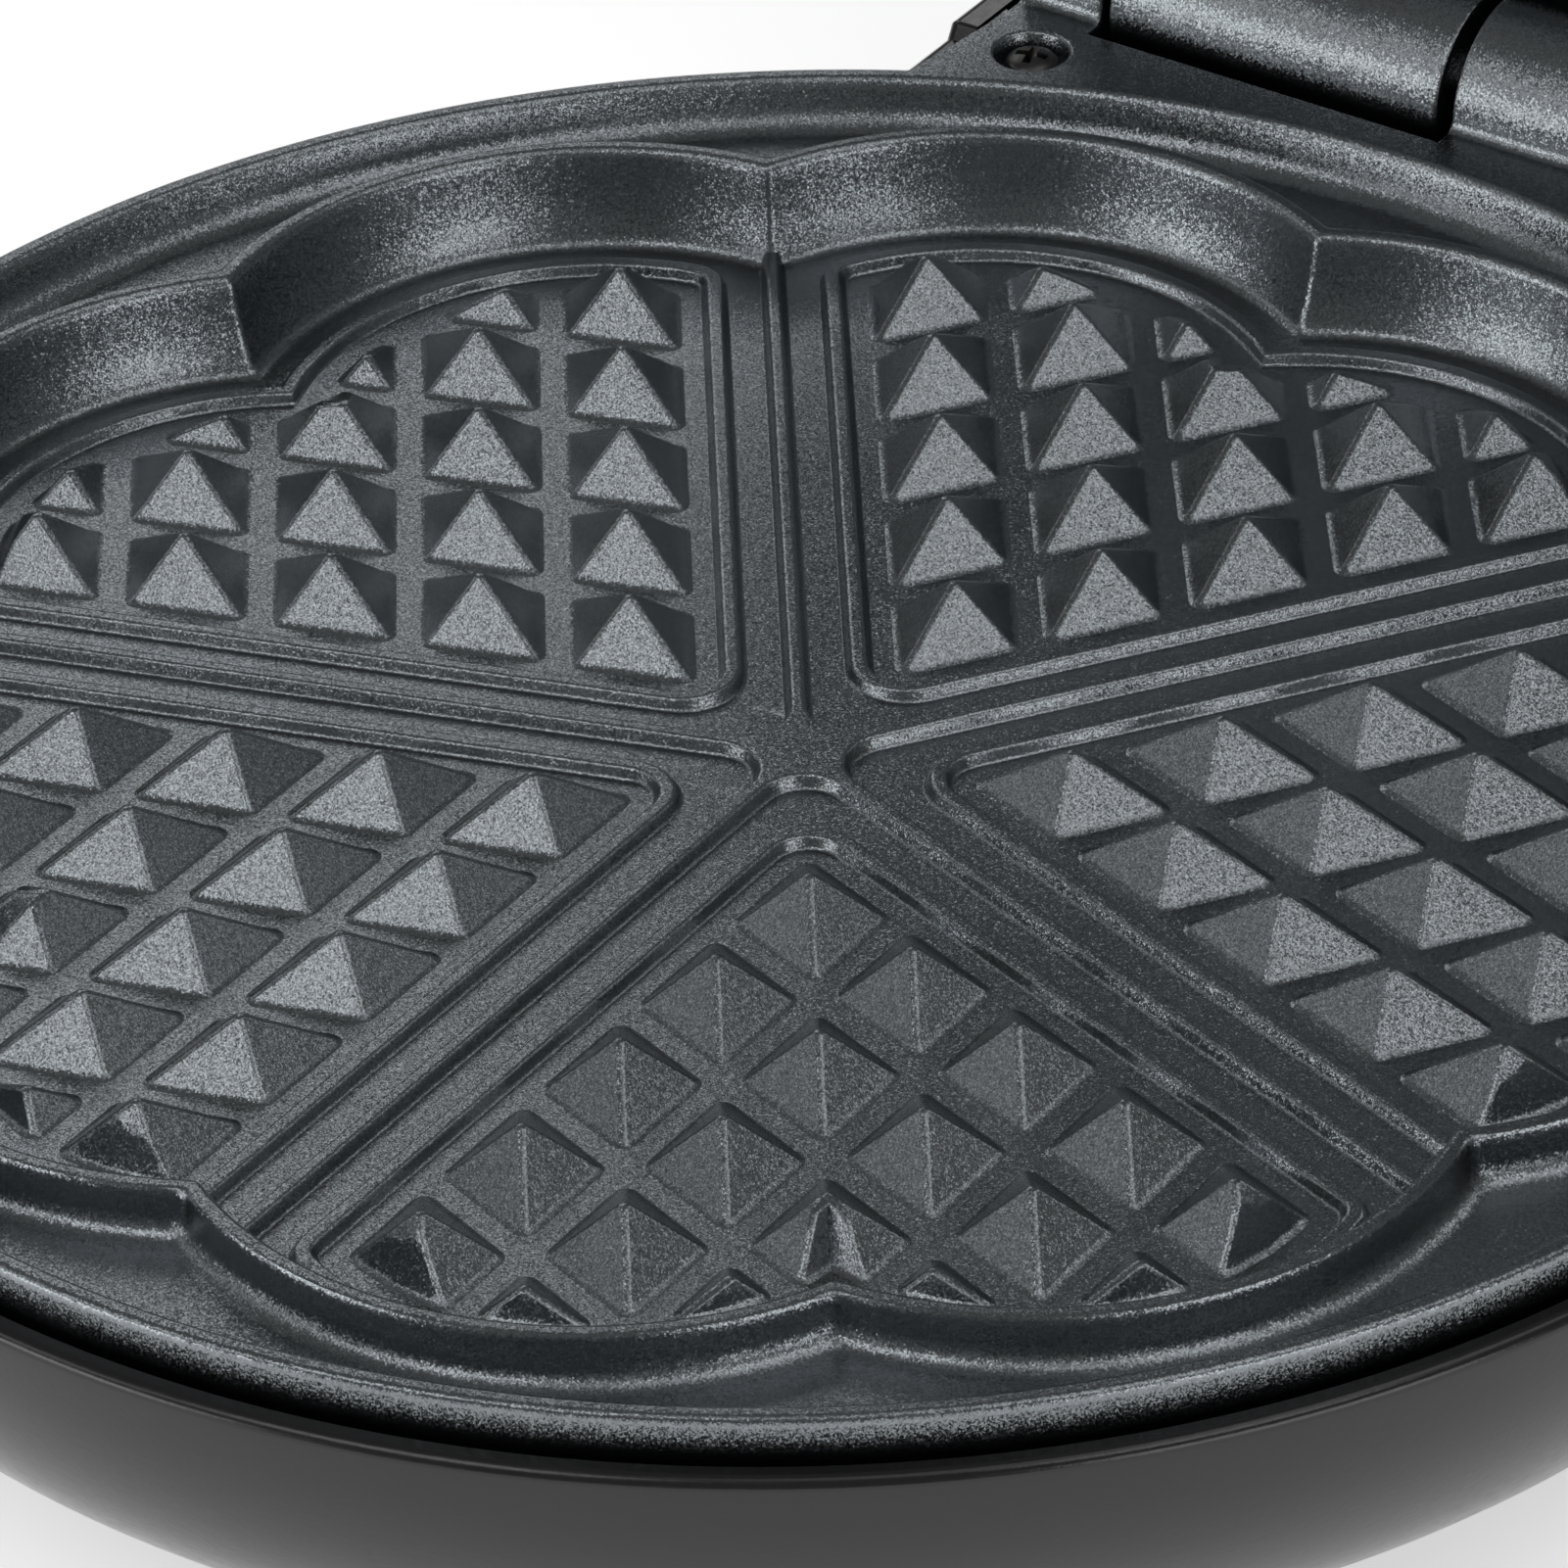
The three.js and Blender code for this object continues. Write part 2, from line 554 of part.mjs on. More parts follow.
function lowerHalf() {
  const half = new THREE.Group();
  half.position.z = PARTING_Z;
  fillHalf(half, 'lower', []);
  half.add(piece('lower_housing', lowerHousing(), darkPlastic));
  half.add(piece('base_cover', baseCover(), darkPlastic));
  for (const [corner, [x, y]] of Object.entries(FEET)) {
    const pad = piece(`foot_${corner}`, foot(), footRubber);
    pad.position.set(x, y, 0);
    half.add(pad);
  }
  COVER_SCREW_ANGLES.forEach((degrees, index) => {
    const upward = crossScrew(3, 1.4, 8).rotate([180, 0, 0])
      .translate([0, 0, HOUSING_BOTTOM_Z - 2 * FIT_GAP - 1.8 - 1.6]);
    half.add(piece(`base_screw_${index + 1}`, coverScrewSpot(degrees, upward), brightSteel));
  });
  half.add(piece('cord_gland', cordGland(), footRubber));
  half.add(piece('terminal_block', terminalBlock(), ceramic));
  half.add(piece('lower_lead_live', elementLead(1), leadSleeve));
  half.add(piece('lower_lead_neutral', elementLead(-1), leadSleeve));
  half.add(piece('hinge_pin', hingePin(), brightSteel));
  half.add(piece('hinge_pin_ring', retainingRing(), blackSteel));
  return half;
}

// ---- upper half, drawn upside down like the lower one and then turned over ------------------

const DOME_RISE = 2.5;            // crown of the lid above the edge of its flat
const CONTROL = { x: 0, y: -55 };
const LAMPS = { x: 24, y: -38 };
const LAMP_HOLE_R = 3.6;
const KNOB_R = 14;

function domeProfile(inset) {
  const crown = HOUSING_BOTTOM_Z - DOME_RISE + inset;
  const rounding = [0.35, 0.7].map((part) => [HOUSING_FLAT_R * part, crown + DOME_RISE * part ** 2]);
  return [[0, crown], ...rounding, ...bowlSide(inset)];
}

function upperHousing() {
  const top = -HOUSING_EDGE_DROP;
  const roof = HOUSING_BOTTOM_Z + 4;
  const outer = turned([...domeProfile(0), [0, top]], 40)
    .add(block([-BLOCK_HALF, 60, roof], [BLOCK_HALF, UPPER_BLOCK_BACK_Y, top]))
    .add(block([-BLOCK_HALF, BLOCK_FRONT_Y, roof], [BLOCK_HALF, UPPER_BLOCK_BACK_Y, -CHEEK_DROP]));
  const inside = turned([...domeProfile(HOUSING_WALL), [HOUSING_R - HOUSING_WALL, 5], [0, 5]], 40);
  const blockInside = block([-BLOCK_HALF + BLOCK_WALL, 60, roof + BLOCK_WALL],
    [BLOCK_HALF - BLOCK_WALL, UPPER_BLOCK_BACK_Y - BLOCK_WALL, -TROUGH_DEPTH - BLOCK_WALL]);
  const trough = block([-TROUGH_HALF, 60, -TROUGH_DEPTH], [TROUGH_HALF, UPPER_BLOCK_BACK_Y + 1, 5]);
  const screwPosts = [-1, 1].map((side) => bar(4.5, roof + 1, -TROUGH_DEPTH, 14)
    .translate([side * PLATE_SCREW.x, PLATE_SCREW.y, 0]));
  const screwHoles = [-1, 1].map((side) => bar(2.1, -19, 2, 10)
    .translate([side * PLATE_SCREW.x, PLATE_SCREW.y, 0]));
  const lampHoles = [-1, 1].map((side) => bar(LAMP_HOLE_R, HOUSING_BOTTOM_Z - 5, HOUSING_BOTTOM_Z + 5, 16)
    .translate([side * LAMPS.x, LAMPS.y, 0]));
  const spindleHole = bar(4, HOUSING_BOTTOM_Z - 5, HOUSING_BOTTOM_Z + 5, 16).translate([CONTROL.x, CONTROL.y, 0]);
  return outer.subtract(joined([inside, blockInside, trough, ...lampHoles, spindleHole]))
    .add(joined(screwPosts))
    .subtract(joined(screwHoles));
}

// Adjustable thermostat: a body that touches the plate and a spindle up through the lid.
function controlThermostat() {
  const low = HOUSING_BOTTOM_Z + 6;
  const body = block([-12, -65, low], [12, -45, UNDERSIDE_Z - 2]);
  const stud = bar(5, UNDERSIDE_Z - 3, UNDERSIDE_Z - FIT_GAP, 16).translate([CONTROL.x, CONTROL.y, 0]);
  const spindle = bar(3, HOUSING_BOTTOM_Z - 11, low + 1, 14).translate([CONTROL.x, CONTROL.y, 0]);
  return body.add(stud).add(spindle);
}

function browningKnob() {
  const seat = HOUSING_BOTTOM_Z - DOME_RISE - 0.6;
  const body = turned([
    [0, seat - 11], [KNOB_R - 2.6, seat - 11], [KNOB_R - 1.6, seat - 10.2], [KNOB_R, seat], [0, seat],
  ], 32);
  const grip = block([-2.4, -KNOB_R + 1.2, seat - 14.5], [2.4, KNOB_R - 1.2, seat - 9]);
  const bore = bar(3.2, seat - 9.2, seat + 1, 14);
  return body.add(grip).subtract(bore);
}

function lampLens() {
  const seat = HOUSING_BOTTOM_Z - 2.3;
  return turned([
    [0, seat - 1.8], [2.6, seat - 1.3], [4.6, seat], [4.6, seat + 0.4], [3.2, seat + 0.4], [3.2, seat + 7], [0, seat + 7],
  ], 18);
}

function lampHolder() {
  const y = LAMPS.y;
  const strip = block([-30, y - 4, HOUSING_BOTTOM_Z + 7], [30, y + 4, HOUSING_BOTTOM_Z + 8.6]);
  const lamps = [-1, 1].map((side) => bar(2.4, HOUSING_BOTTOM_Z + 5.2, HOUSING_BOTTOM_Z + 8, 12)
    .translate([side * LAMPS.x, y, 0]));
  return strip.add(joined(lamps));
}

// Plan of the handle: wide where it meets the lid, waisted, and round at its end.
function handleOutline() {
  const outline = new THREE.Shape();
  outline.moveTo(-30, -84);
  outline.bezierCurveTo(-28, -112, -21, -108, -21, -132);
  outline.absarc(0, -132, 21, Math.PI, 2 * Math.PI, false);
  outline.bezierCurveTo(21, -108, 28, -112, 30, -84);
  outline.closePath();
  return outline;
}

const HANDLE_SPLIT_Z = -14;
const HANDLE_SCREWS = [[0, -112], [0, -138]];

function handleShell(from, to, bevel) {
  const clearOfLid = turned([[0, -60], [60, -60], ...bowlSide(-FIT_GAP - 0.1), [HOUSING_R + 0.4, 5], [0, 5]], 40);
  return extruded(handleOutline(), to - from, bevel).translate([0, 0, from]).subtract(clearOfLid);
}

function handleTop() {
  const holes = HANDLE_SCREWS.map(([x, y]) => bar(1.6, HANDLE_SPLIT_Z - 7, HANDLE_SPLIT_Z + 1, 10).translate([x, y, 0]));
  return handleShell(HANDLE_SPLIT_Z - 10, HANDLE_SPLIT_Z - FIT_GAP, 2.5).subtract(joined(holes));
}

function handleBottom() {
  const high = HANDLE_SPLIT_Z + 8;
  const holes = HANDLE_SCREWS.map(([x, y]) => bar(1.9, HANDLE_SPLIT_Z - 1, high + 1, 10)
    .add(bar(3.6, high - 3, high + 1, 14)).translate([x, y, 0]));
  return handleShell(HANDLE_SPLIT_Z, high, 2).subtract(joined(holes));
}

function upperHalf() {
  const half = new THREE.Group();
  half.rotation.y = Math.PI;
  const well = block([-13, -66, -50], [13, -44, -5]);
  fillHalf(half, 'upper', [well]);
  half.add(piece('upper_housing', upperHousing(), darkPlastic));
  half.add(piece('handle_top', handleTop(), handlePlastic));
  half.add(piece('handle_bottom', handleBottom(), handlePlastic));
  HANDLE_SCREWS.forEach(([x, y], index) => {
    const screw = piece(`handle_screw_${index + 1}`, crossScrew(3, 1.4, 11), brightSteel);
    screw.position.set(x, y, HANDLE_SPLIT_Z + 8 - 1.1);
    half.add(screw);
  });
  half.add(piece('control_thermostat', controlThermostat(), ceramic));
  half.add(piece('lamp_holder', lampHolder(), ceramic));
  for (const [name, x, material] of [['power_lens', LAMPS.x, redLens], ['ready_lens', -LAMPS.x, greenLens]]) {
    const lens = piece(name, lampLens(), material);
    lens.position.set(x, LAMPS.y, 0);
    half.add(lens);
  }
  const knob = piece('browning_knob', browningKnob(), handlePlastic);
  knob.position.set(CONTROL.x, CONTROL.y, 0);
  half.add(knob);
  return half;
}

// ---- assembly -------------------------------------------------------------------------------

const wafflemaker = new THREE.Group();
wafflemaker.add(lowerHalf());

const lid = new THREE.Group();
lid.position.set(0, HINGE_Y, PARTING_Z);
lid.rotation.x = -OPEN_ANGLE;
const closedLid = upperHalf();
closedLid.position.y = -HINGE_Y;
lid.add(closedLid);
wafflemaker.add(lid);

// The origin is under the middle of the open appliance, on the table.
wafflemaker.updateMatrixWorld(true);
const extent = new THREE.Box3().setFromObject(wafflemaker, true);
wafflemaker.position.y = -(extent.min.y + extent.max.y) / 2;

export default wafflemaker;
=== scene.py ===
"""Looks of the heart waffle maker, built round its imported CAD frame.

Pieces are drawn in millimetres as they lie when the appliance is shut: z = 0 where the two
plates meet and the hinge at +Y. A matrix then takes each piece to its place at rest, in metres.
"""

import json
import math

import bmesh
import bpy
import numpy as np
from mathutils import Matrix, Vector


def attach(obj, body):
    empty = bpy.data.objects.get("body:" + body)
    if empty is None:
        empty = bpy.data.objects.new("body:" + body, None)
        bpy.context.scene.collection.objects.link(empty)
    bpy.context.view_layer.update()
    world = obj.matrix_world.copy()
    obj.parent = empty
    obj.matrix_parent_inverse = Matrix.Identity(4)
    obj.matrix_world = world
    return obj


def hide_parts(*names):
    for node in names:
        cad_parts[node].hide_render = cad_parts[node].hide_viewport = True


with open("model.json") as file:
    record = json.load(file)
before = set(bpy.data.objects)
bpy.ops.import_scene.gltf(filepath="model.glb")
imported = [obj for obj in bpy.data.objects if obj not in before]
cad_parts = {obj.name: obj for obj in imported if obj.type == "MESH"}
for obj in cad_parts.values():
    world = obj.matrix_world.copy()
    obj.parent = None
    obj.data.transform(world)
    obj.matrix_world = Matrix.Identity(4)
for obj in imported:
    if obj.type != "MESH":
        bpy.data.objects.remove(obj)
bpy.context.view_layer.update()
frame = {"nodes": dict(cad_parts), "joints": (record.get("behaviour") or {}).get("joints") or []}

# ---- places --------------------------------------------------------------------------------

joints = {joint["name"]: joint for joint in frame["joints"]}
hinge = Vector(joints["lid_hinge"]["pos_m"])
open_angle = math.radians(joints["lid_hinge"]["range_deg"][1])
MM = 0.001
HINGE_Y = 110.0
drawn = Matrix.Scale(MM, 4) @ Matrix.Translation((0, -HINGE_Y, 0))
turned_over = Matrix.Rotation(math.pi, 4, "Y")
BASE = Matrix.Translation(hinge) @ drawn
LID = Matrix.Translation(hinge) @ Matrix.Rotation(-open_angle, 4, "X") @ drawn @ turned_over
plate_centre = hinge - Vector((0, HINGE_Y / 1000, 0))


def direction(azimuth, elevation):
    """Unit vector away from the plate; azimuth 0 is the front and a quarter turn the right."""
    return Vector((
        math.sin(azimuth) * math.cos(elevation),
        -math.cos(azimuth) * math.cos(elevation),
        math.sin(elevation),
    ))


# ---- camera --------------------------------------------------------------------------------

CAMERA_AZIMUTH, CAMERA_ELEVATION, CAMERA_ROLL = math.radians(35.23), math.radians(34.415), -0.032379
CAMERA_DISTANCE = 0.7325
CAMERA_LENS, SENSOR_WIDTH = 208.26, 36
AIM_OFFSET = Vector((0.00078, -0.00364, -0.009))
NEAREST, FURTHEST = 0.01, 20


def add_camera():
    back = direction(CAMERA_AZIMUTH, CAMERA_ELEVATION)
    right = Vector((0, 0, 1)).cross(back).normalized()
    up = back.cross(right)
    rolled_right = math.cos(CAMERA_ROLL) * right + math.sin(CAMERA_ROLL) * up
    rolled_up = math.cos(CAMERA_ROLL) * up - math.sin(CAMERA_ROLL) * right
    target = plate_centre + AIM_OFFSET
    data = bpy.data.cameras.new("camera")
    data.sensor_width = SENSOR_WIDTH
    data.lens = CAMERA_LENS
    data.clip_start, data.clip_end = NEAREST, FURTHEST
    camera = bpy.data.objects.new("camera", data)
    bpy.context.scene.collection.objects.link(camera)
    rotation = Matrix((rolled_right, rolled_up, back)).transposed().to_4x4()
    camera.matrix_world = Matrix.Translation(target + CAMERA_DISTANCE * back) @ rotation
    bpy.context.scene.camera = camera


add_camera()

# ---- mesh helpers --------------------------------------------------------------------------

WELD = 1e-3                       # points nearer than this are one
FLAT_ENOUGH = math.radians(0.15)


def unit(angle):
    """Unit vector in the plane of the plate, anticlockwise from +X."""
    return np.array([math.cos(angle), math.sin(angle)])


def with_mesh_edit(obj, edit):
    bm = bmesh.new()
    bm.from_mesh(obj.data)
    edit(bm)
    bm.to_mesh(obj.data)
    bm.free()
    return obj


def clean(bm):
    bmesh.ops.remove_doubles(bm, verts=bm.verts, dist=WELD)
    bmesh.ops.dissolve_degenerate(bm, edges=bm.edges, dist=WELD)
    bmesh.ops.recalc_face_normals(bm, faces=bm.faces)


def flats_merged(bm):
    """Level stretches become single faces, so that their shading is even."""
    bmesh.ops.dissolve_limit(bm, angle_limit=FLAT_ENOUGH, verts=bm.verts, edges=bm.edges)


def shape(points, faces):
    mesh = bpy.data.meshes.new("shape")
    mesh.from_pydata([tuple(map(float, point)) for point in points], [], faces)
    obj = bpy.data.objects.new("shape", mesh)
    bpy.context.scene.collection.objects.link(obj)
    return with_mesh_edit(obj, clean)


def stacked(rings, closed=False):
    """A solid whose skin runs through rings of points that all have the same count."""
    count, levels = len(rings[0]), len(rings)
    faces = []
    for level in range(levels if closed else levels - 1):
        low, high = level * count, (level + 1) % levels * count
        for i in range(count):
            j = (i + 1) % count
            faces.append((low + i, low + j, high + j, high + i))
    if not closed:
        faces.append(tuple(range(count))[::-1])
        faces.append(tuple(range((levels - 1) * count, levels * count)))
    return shape(np.concatenate(rings), faces)


def at_height(loop, z):
    return np.column_stack([loop, np.full(len(loop), z)])


def circle(radius, count):
    return np.array([radius * unit(2 * math.pi * i / count) for i in range(count)])


def turned(profile, count=96):
    """A solid of revolution about Z from (radius, height) pairs, flat at both ends."""
    return stacked([at_height(circle(radius, count), z) for radius, z in profile])


def bar(radius, low, high, count=32, at=(0, 0)):
    return moved(turned([(radius, low), (radius, high)], count), (at[0], at[1], 0))


def block(low, high, bevel=0.0):
    corners = [(x, y, z) for x in (low[0], high[0]) for y in (low[1], high[1]) for z in (low[2], high[2])]
    faces = [(0, 1, 3, 2), (4, 6, 7, 5), (0, 4, 5, 1), (2, 3, 7, 6), (0, 2, 6, 4), (1, 5, 7, 3)]
    obj = shape(corners, faces)
    return bevelled(obj, bevel) if bevel else obj


def bevelled(obj, width):
    def edit(bm):
        bmesh.ops.bevel(bm, geom=bm.edges[:], offset=width, segments=1, profile=0.5, affect="EDGES",
                        clamp_overlap=True)
    return with_mesh_edit(obj, edit)


def moved(obj, offset=(0, 0, 0), rotation=None):
    matrix = Matrix.Translation(offset)
    if rotation is not None:
        matrix = matrix @ Matrix.Rotation(math.radians(rotation[0]), 4, rotation[1])
    obj.data.transform(matrix)
    return obj


def gathered(objs):
    """Shapes that don't touch each other, as one."""
    first, *rest = objs

    def edit(bm):
        for other in rest:
            bm.from_mesh(other.data)
    with_mesh_edit(first, edit)
    for other in rest:
        bpy.data.objects.remove(other)
    return first


def combined(obj, others, operation):
    for other in others:
        modifier = obj.modifiers.new("combine", "BOOLEAN")
        modifier.operation, modifier.solver, modifier.object = operation, "MANIFOLD", other
    graph = bpy.context.evaluated_depsgraph_get()
    mesh = bpy.data.meshes.new_from_object(obj.evaluated_get(graph))
    obj.modifiers.clear()
    obj.data = mesh
    for other in others:
        bpy.data.objects.remove(other)
    return obj


def joined(obj, *others):
    return combined(obj, others, "UNION")


def cut(obj, *others):
    return combined(obj, others, "DIFFERENCE")


def inset(loop, distance):
    """A closed loop, anticlockwise, moved inwards by a distance."""
    before, after = np.roll(loop, 1, axis=0), np.roll(loop, -1, axis=0)
    normals = []
    for a, b, c in zip(before, loop, after):
        first, second = b - a, c - b
        first, second = first / np.linalg.norm(first), second / np.linalg.norm(second)
        mitre = np.array([-first[1] - second[1], first[0] + second[0]])
        normals.append(2 * mitre / max(mitre @ mitre, 0.5))
    return loop + distance * np.array(normals)


def pillowed(loop, levels):
    """A solid over a loop, from (height, inset) pairs."""
    return stacked([at_height(inset(loop, distance), z) for z, distance in levels])


def finished(obj, name, matrix, body, material, nodes=(), sharp=35):
    obj.name = obj.data.name = name
    with_mesh_edit(obj, flats_merged)
    obj.data.transform(matrix)
    obj.data.polygons.foreach_set("use_smooth", [True] * len(obj.data.polygons))
    obj.data.set_sharp_from_angle(angle=math.radians(sharp))
    modifier = obj.modifiers.new("normals", "WEIGHTED_NORMAL")
    modifier.keep_sharp = True
    obj.data.materials.clear()
    obj.data.materials.append(material)
    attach(obj, body)
    if nodes:
        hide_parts(*nodes)
    return obj


def copied(obj):
    twin = bpy.data.objects.new("shape", obj.data.copy())
    bpy.context.scene.collection.objects.link(twin)
    return twin


# ---- materials -----------------------------------------------------------------------------


class Nodes:
    """A new material and short ways to add nodes to it."""

    def __init__(self, name, **sockets):
        self.material = bpy.data.materials.new(name)
        self.material.use_nodes = True
        self.tree = self.material.node_tree
        self.shader = self.tree.nodes["Principled BSDF"]
        self.coordinates = self.add("ShaderNodeTexCoord").outputs["Object"]
        for socket, value in sockets.items():
            self.shader.inputs[socket.replace("_", " ")].default_value = value

    def add(self, kind, **values):
        node = self.tree.nodes.new(kind)
        for key, value in values.items():
            if key in node.inputs:
                self.feed(value, node.inputs[key])
            elif key.replace("_", " ") in node.inputs:
                self.feed(value, node.inputs[key.replace("_", " ")])
            else:
                setattr(node, key, value)
        return node

    def feed(self, value, socket):
        if isinstance(value, bpy.types.NodeSocket):
            self.tree.links.new(value, socket)
        else:
            socket.default_value = value

    def noise(self, scale, detail=3.0, roughness=0.5, stretch=None):
        vector = self.coordinates
        if stretch:
            vector = self.add("ShaderNodeMapping", Vector=vector, Scale=stretch).outputs["Vector"]
        return self.add("ShaderNodeTexNoise", Vector=vector, Scale=scale, Detail=detail,
                        Roughness=roughness).outputs["Fac"]

    def cells(self, scale):
        return self.add("ShaderNodeTexVoronoi", Vector=self.coordinates, Scale=scale)

    def ramp(self, value, low, high, from_low=0.0, from_high=1.0):
        """Maps from_low...from_high to low...high."""
        node = self.add("ShaderNodeMapRange", Value=value, From_Min=from_low, From_Max=from_high,
                        To_Min=low, To_Max=high)
        return node.outputs["Result"]

    def blend(self, value, first, second):
        """A colour between two; inputs 6 and 7 are the colour ones of a Mix node, output 2 its colour."""
        node = self.add("ShaderNodeMix", data_type="RGBA")
        self.feed(value, node.inputs["Factor"])
        self.feed(first, node.inputs[6])
        self.feed(second, node.inputs[7])
        return node.outputs[2]

    def math(self, operation, first, second):
        node = self.add("ShaderNodeMath", operation=operation)
        self.feed(first, node.inputs[0])
        self.feed(second, node.inputs[1])
        return node.outputs[0]

    def bump(self, height, distance, strength):
        node = self.add("ShaderNodeBump", Height=height, Distance=distance, Strength=strength)
        return node.outputs["Normal"]

    def flakes(self, cells, spread, normal=None):
        """A normal tilted by a random amount in each cell."""
        normal = normal or self.add("ShaderNodeNewGeometry").outputs["Normal"]
        tilt = self.add("ShaderNodeVectorMath", operation="MULTIPLY_ADD")
        self.feed(cells.outputs["Color"], tilt.inputs[0])
        tilt.inputs[1].default_value = (spread,) * 3
        tilt.inputs[2].default_value = (-spread / 2,) * 3
        total = self.add("ShaderNodeVectorMath", operation="ADD")
        self.feed(normal, total.inputs[0])
        self.feed(tilt.outputs[0], total.inputs[1])
        return self.add("ShaderNodeVectorMath", operation="NORMALIZE", Vector=total.outputs[0]).outputs[0]

    def set(self, **sockets):
        for socket, value in sockets.items():
            self.feed(value, self.shader.inputs[socket.replace("_", " ")])
        return self.material


def grey(value, warmth=0.0):
    return (value * (1 + warmth), value, value * (1 - warmth), 1)


def non_stick():
    """Charcoal coating full of fine metal flakes, each tilted its own way."""
    n = Nodes("non_stick_coating", Metallic=1.0)
    tilt = n.flakes(n.cells(7000), 0.23)
    tilt = n.flakes(n.cells(12000), 0.15, tilt)
    depth = n.add("ShaderNodeSeparateColor", Color=n.cells(8300).outputs["Color"]).outputs[0]
    drift = n.noise(45, 4)
    level = n.math("ADD", n.ramp(depth, 0.0, 0.8), n.ramp(drift, 0.0, 0.2, 0.3, 0.7))
    colour = n.blend(level, (0.155, 0.168, 0.177, 1), (0.27, 0.292, 0.307, 1))
    return n.set(Base_Color=colour, Roughness=n.ramp(drift, 0.23, 0.26, 0.3, 0.7), Normal=tilt)


def moulded(name, colour, roughness, grain, warmth=0.0, depth=0.00004):
    """Moulded plastic: fine spark-eroded grain, faint flow variation and handled patches."""
    n = Nodes(name, IOR=1.5, Specular_IOR_Level=0.5)
    patches = n.noise(18, 5, 0.6)
    colour_out = n.blend(patches, grey(colour * 0.85, warmth), grey(colour * 1.2, warmth))
    shine = n.math("ADD", n.ramp(patches, roughness - 0.05, roughness + 0.05, 0.3, 0.7),
                   n.ramp(n.noise(900, 2), -0.03, 0.03, 0.3, 0.7))
    normal = n.bump(n.noise(grain, 2, 0.6), depth, 0.35)
    return n.set(Base_Color=colour_out, Roughness=shine, Normal=normal)


def steel(name, colour, roughness, stretch, tint=None, tint_scale=30):
    """Drawn or turned steel with fine lines along one direction."""
    n = Nodes(name, Metallic=1.0)
    lines = n.noise(900, 4, 0.6, stretch)
    base = n.blend(lines, tuple(c * 0.8 for c in colour[:3]) + (1,), colour)
    if tint:
        base = n.blend(n.ramp(n.noise(tint_scale, 4), 0.0, 1.0, 0.35, 0.75), base, tint)
    shine = n.ramp(lines, roughness - 0.08, roughness + 0.1, 0.3, 0.7)
    return n.set(Base_Color=base, Roughness=shine, Normal=n.bump(lines, 0.00001, 0.3))


def rubber():
    n = Nodes("rubber", IOR=1.52)
    dust = n.noise(140, 6, 0.7)
    colour = n.blend(n.ramp(dust, 0.0, 1.0, 0.4, 0.8), grey(0.012), grey(0.03, 0.06))
    return n.set(Base_Color=colour, Roughness=n.ramp(dust, 0.65, 0.9, 0.3, 0.7),
                 Normal=n.bump(n.noise(2500, 3), 0.00005, 0.5))


def ceramic():
    n = Nodes("ceramic", IOR=1.6)
    pores = n.noise(1500, 4, 0.7)
    colour = n.blend(n.noise(90, 4), (0.62, 0.57, 0.47, 1), (0.8, 0.77, 0.7, 1))
    return n.set(Base_Color=colour, Roughness=n.ramp(pores, 0.5, 0.75, 0.3, 0.7),
                 Normal=n.bump(pores, 0.00004, 0.5))


def sleeve():
    n = Nodes("glass_sleeve", IOR=1.5)
    weave = n.add("ShaderNodeTexWave", Vector=n.coordinates, Scale=900, Distortion=2).outputs["Fac"]
    colour = n.blend(weave, (0.22, 0.2, 0.17, 1), (0.5, 0.47, 0.42, 1))
    return n.set(Base_Color=colour, Roughness=n.ramp(weave, 0.7, 0.9), Normal=n.bump(weave, 0.0001, 0.6))


def lens(name, colour):
    n = Nodes(name, IOR=1.49, Transmission_Weight=0.35, Coat_Weight=0.6)
    swirl = n.noise(220, 3)
    dark = tuple(c * 0.55 for c in colour[:3]) + (1,)
    return n.set(Base_Color=n.blend(swirl, dark, colour), Roughness=n.ramp(swirl, 0.12, 0.22, 0.3, 0.7),
                 Normal=n.bump(n.noise(1200, 2), 0.00001, 0.3))


COATING = non_stick()
HOUSING = moulded("housing_plastic", 0.008, 0.2, 1500, 0.02)
GRIP = moulded("handle_plastic", 0.018, 0.5, 2600, 0.0, 0.00006)
MARKS = moulded("mark_paint", 0.5, 0.5, 1800)
BLACK_STEEL = steel("black_oxide", (0.06, 0.06, 0.062, 1), 0.34, (1, 1, 1), (0.1, 0.095, 0.09, 1), 260)
BRIGHT_STEEL = steel("zinc_plate", (0.58, 0.59, 0.6, 1), 0.3, (0.05, 1, 1))
ELEMENT = steel("element_sheath", (0.3, 0.25, 0.2, 1), 0.45, (1, 1, 0.2), (0.16, 0.13, 0.2, 1))
SHIELD = steel("rolled_sheet", (0.6, 0.61, 0.62, 1), 0.32, (0.04, 1, 1), (0.42, 0.37, 0.3, 1))
RUBBER = rubber()
CERAMIC = ceramic()
SLEEVE = sleeve()
RED = lens("red_lens", (0.55, 0.02, 0.01, 1))
GREEN = lens("green_lens", (0.02, 0.32, 0.07, 1))

# ---- waffle plate --------------------------------------------------------------------------

FLOOR = -9.0                      # pattern floor below the parting plane
RIM_TOP = -0.2
ARMS = 5
ARM_STEP = 2 * math.pi / ARMS
FIRST_ARM = -math.pi / 2
LOBE_HALF = ARM_STEP / 4
LOBE_R = 53.5                     # distance of the lobe centres from the middle
LOBE_ACROSS = LOBE_R * math.sin(LOBE_HALF)
LOBE_ALONG = LOBE_R * math.cos(LOBE_HALF)
ARC_STEPS, CORNER_STEPS = 32, 4

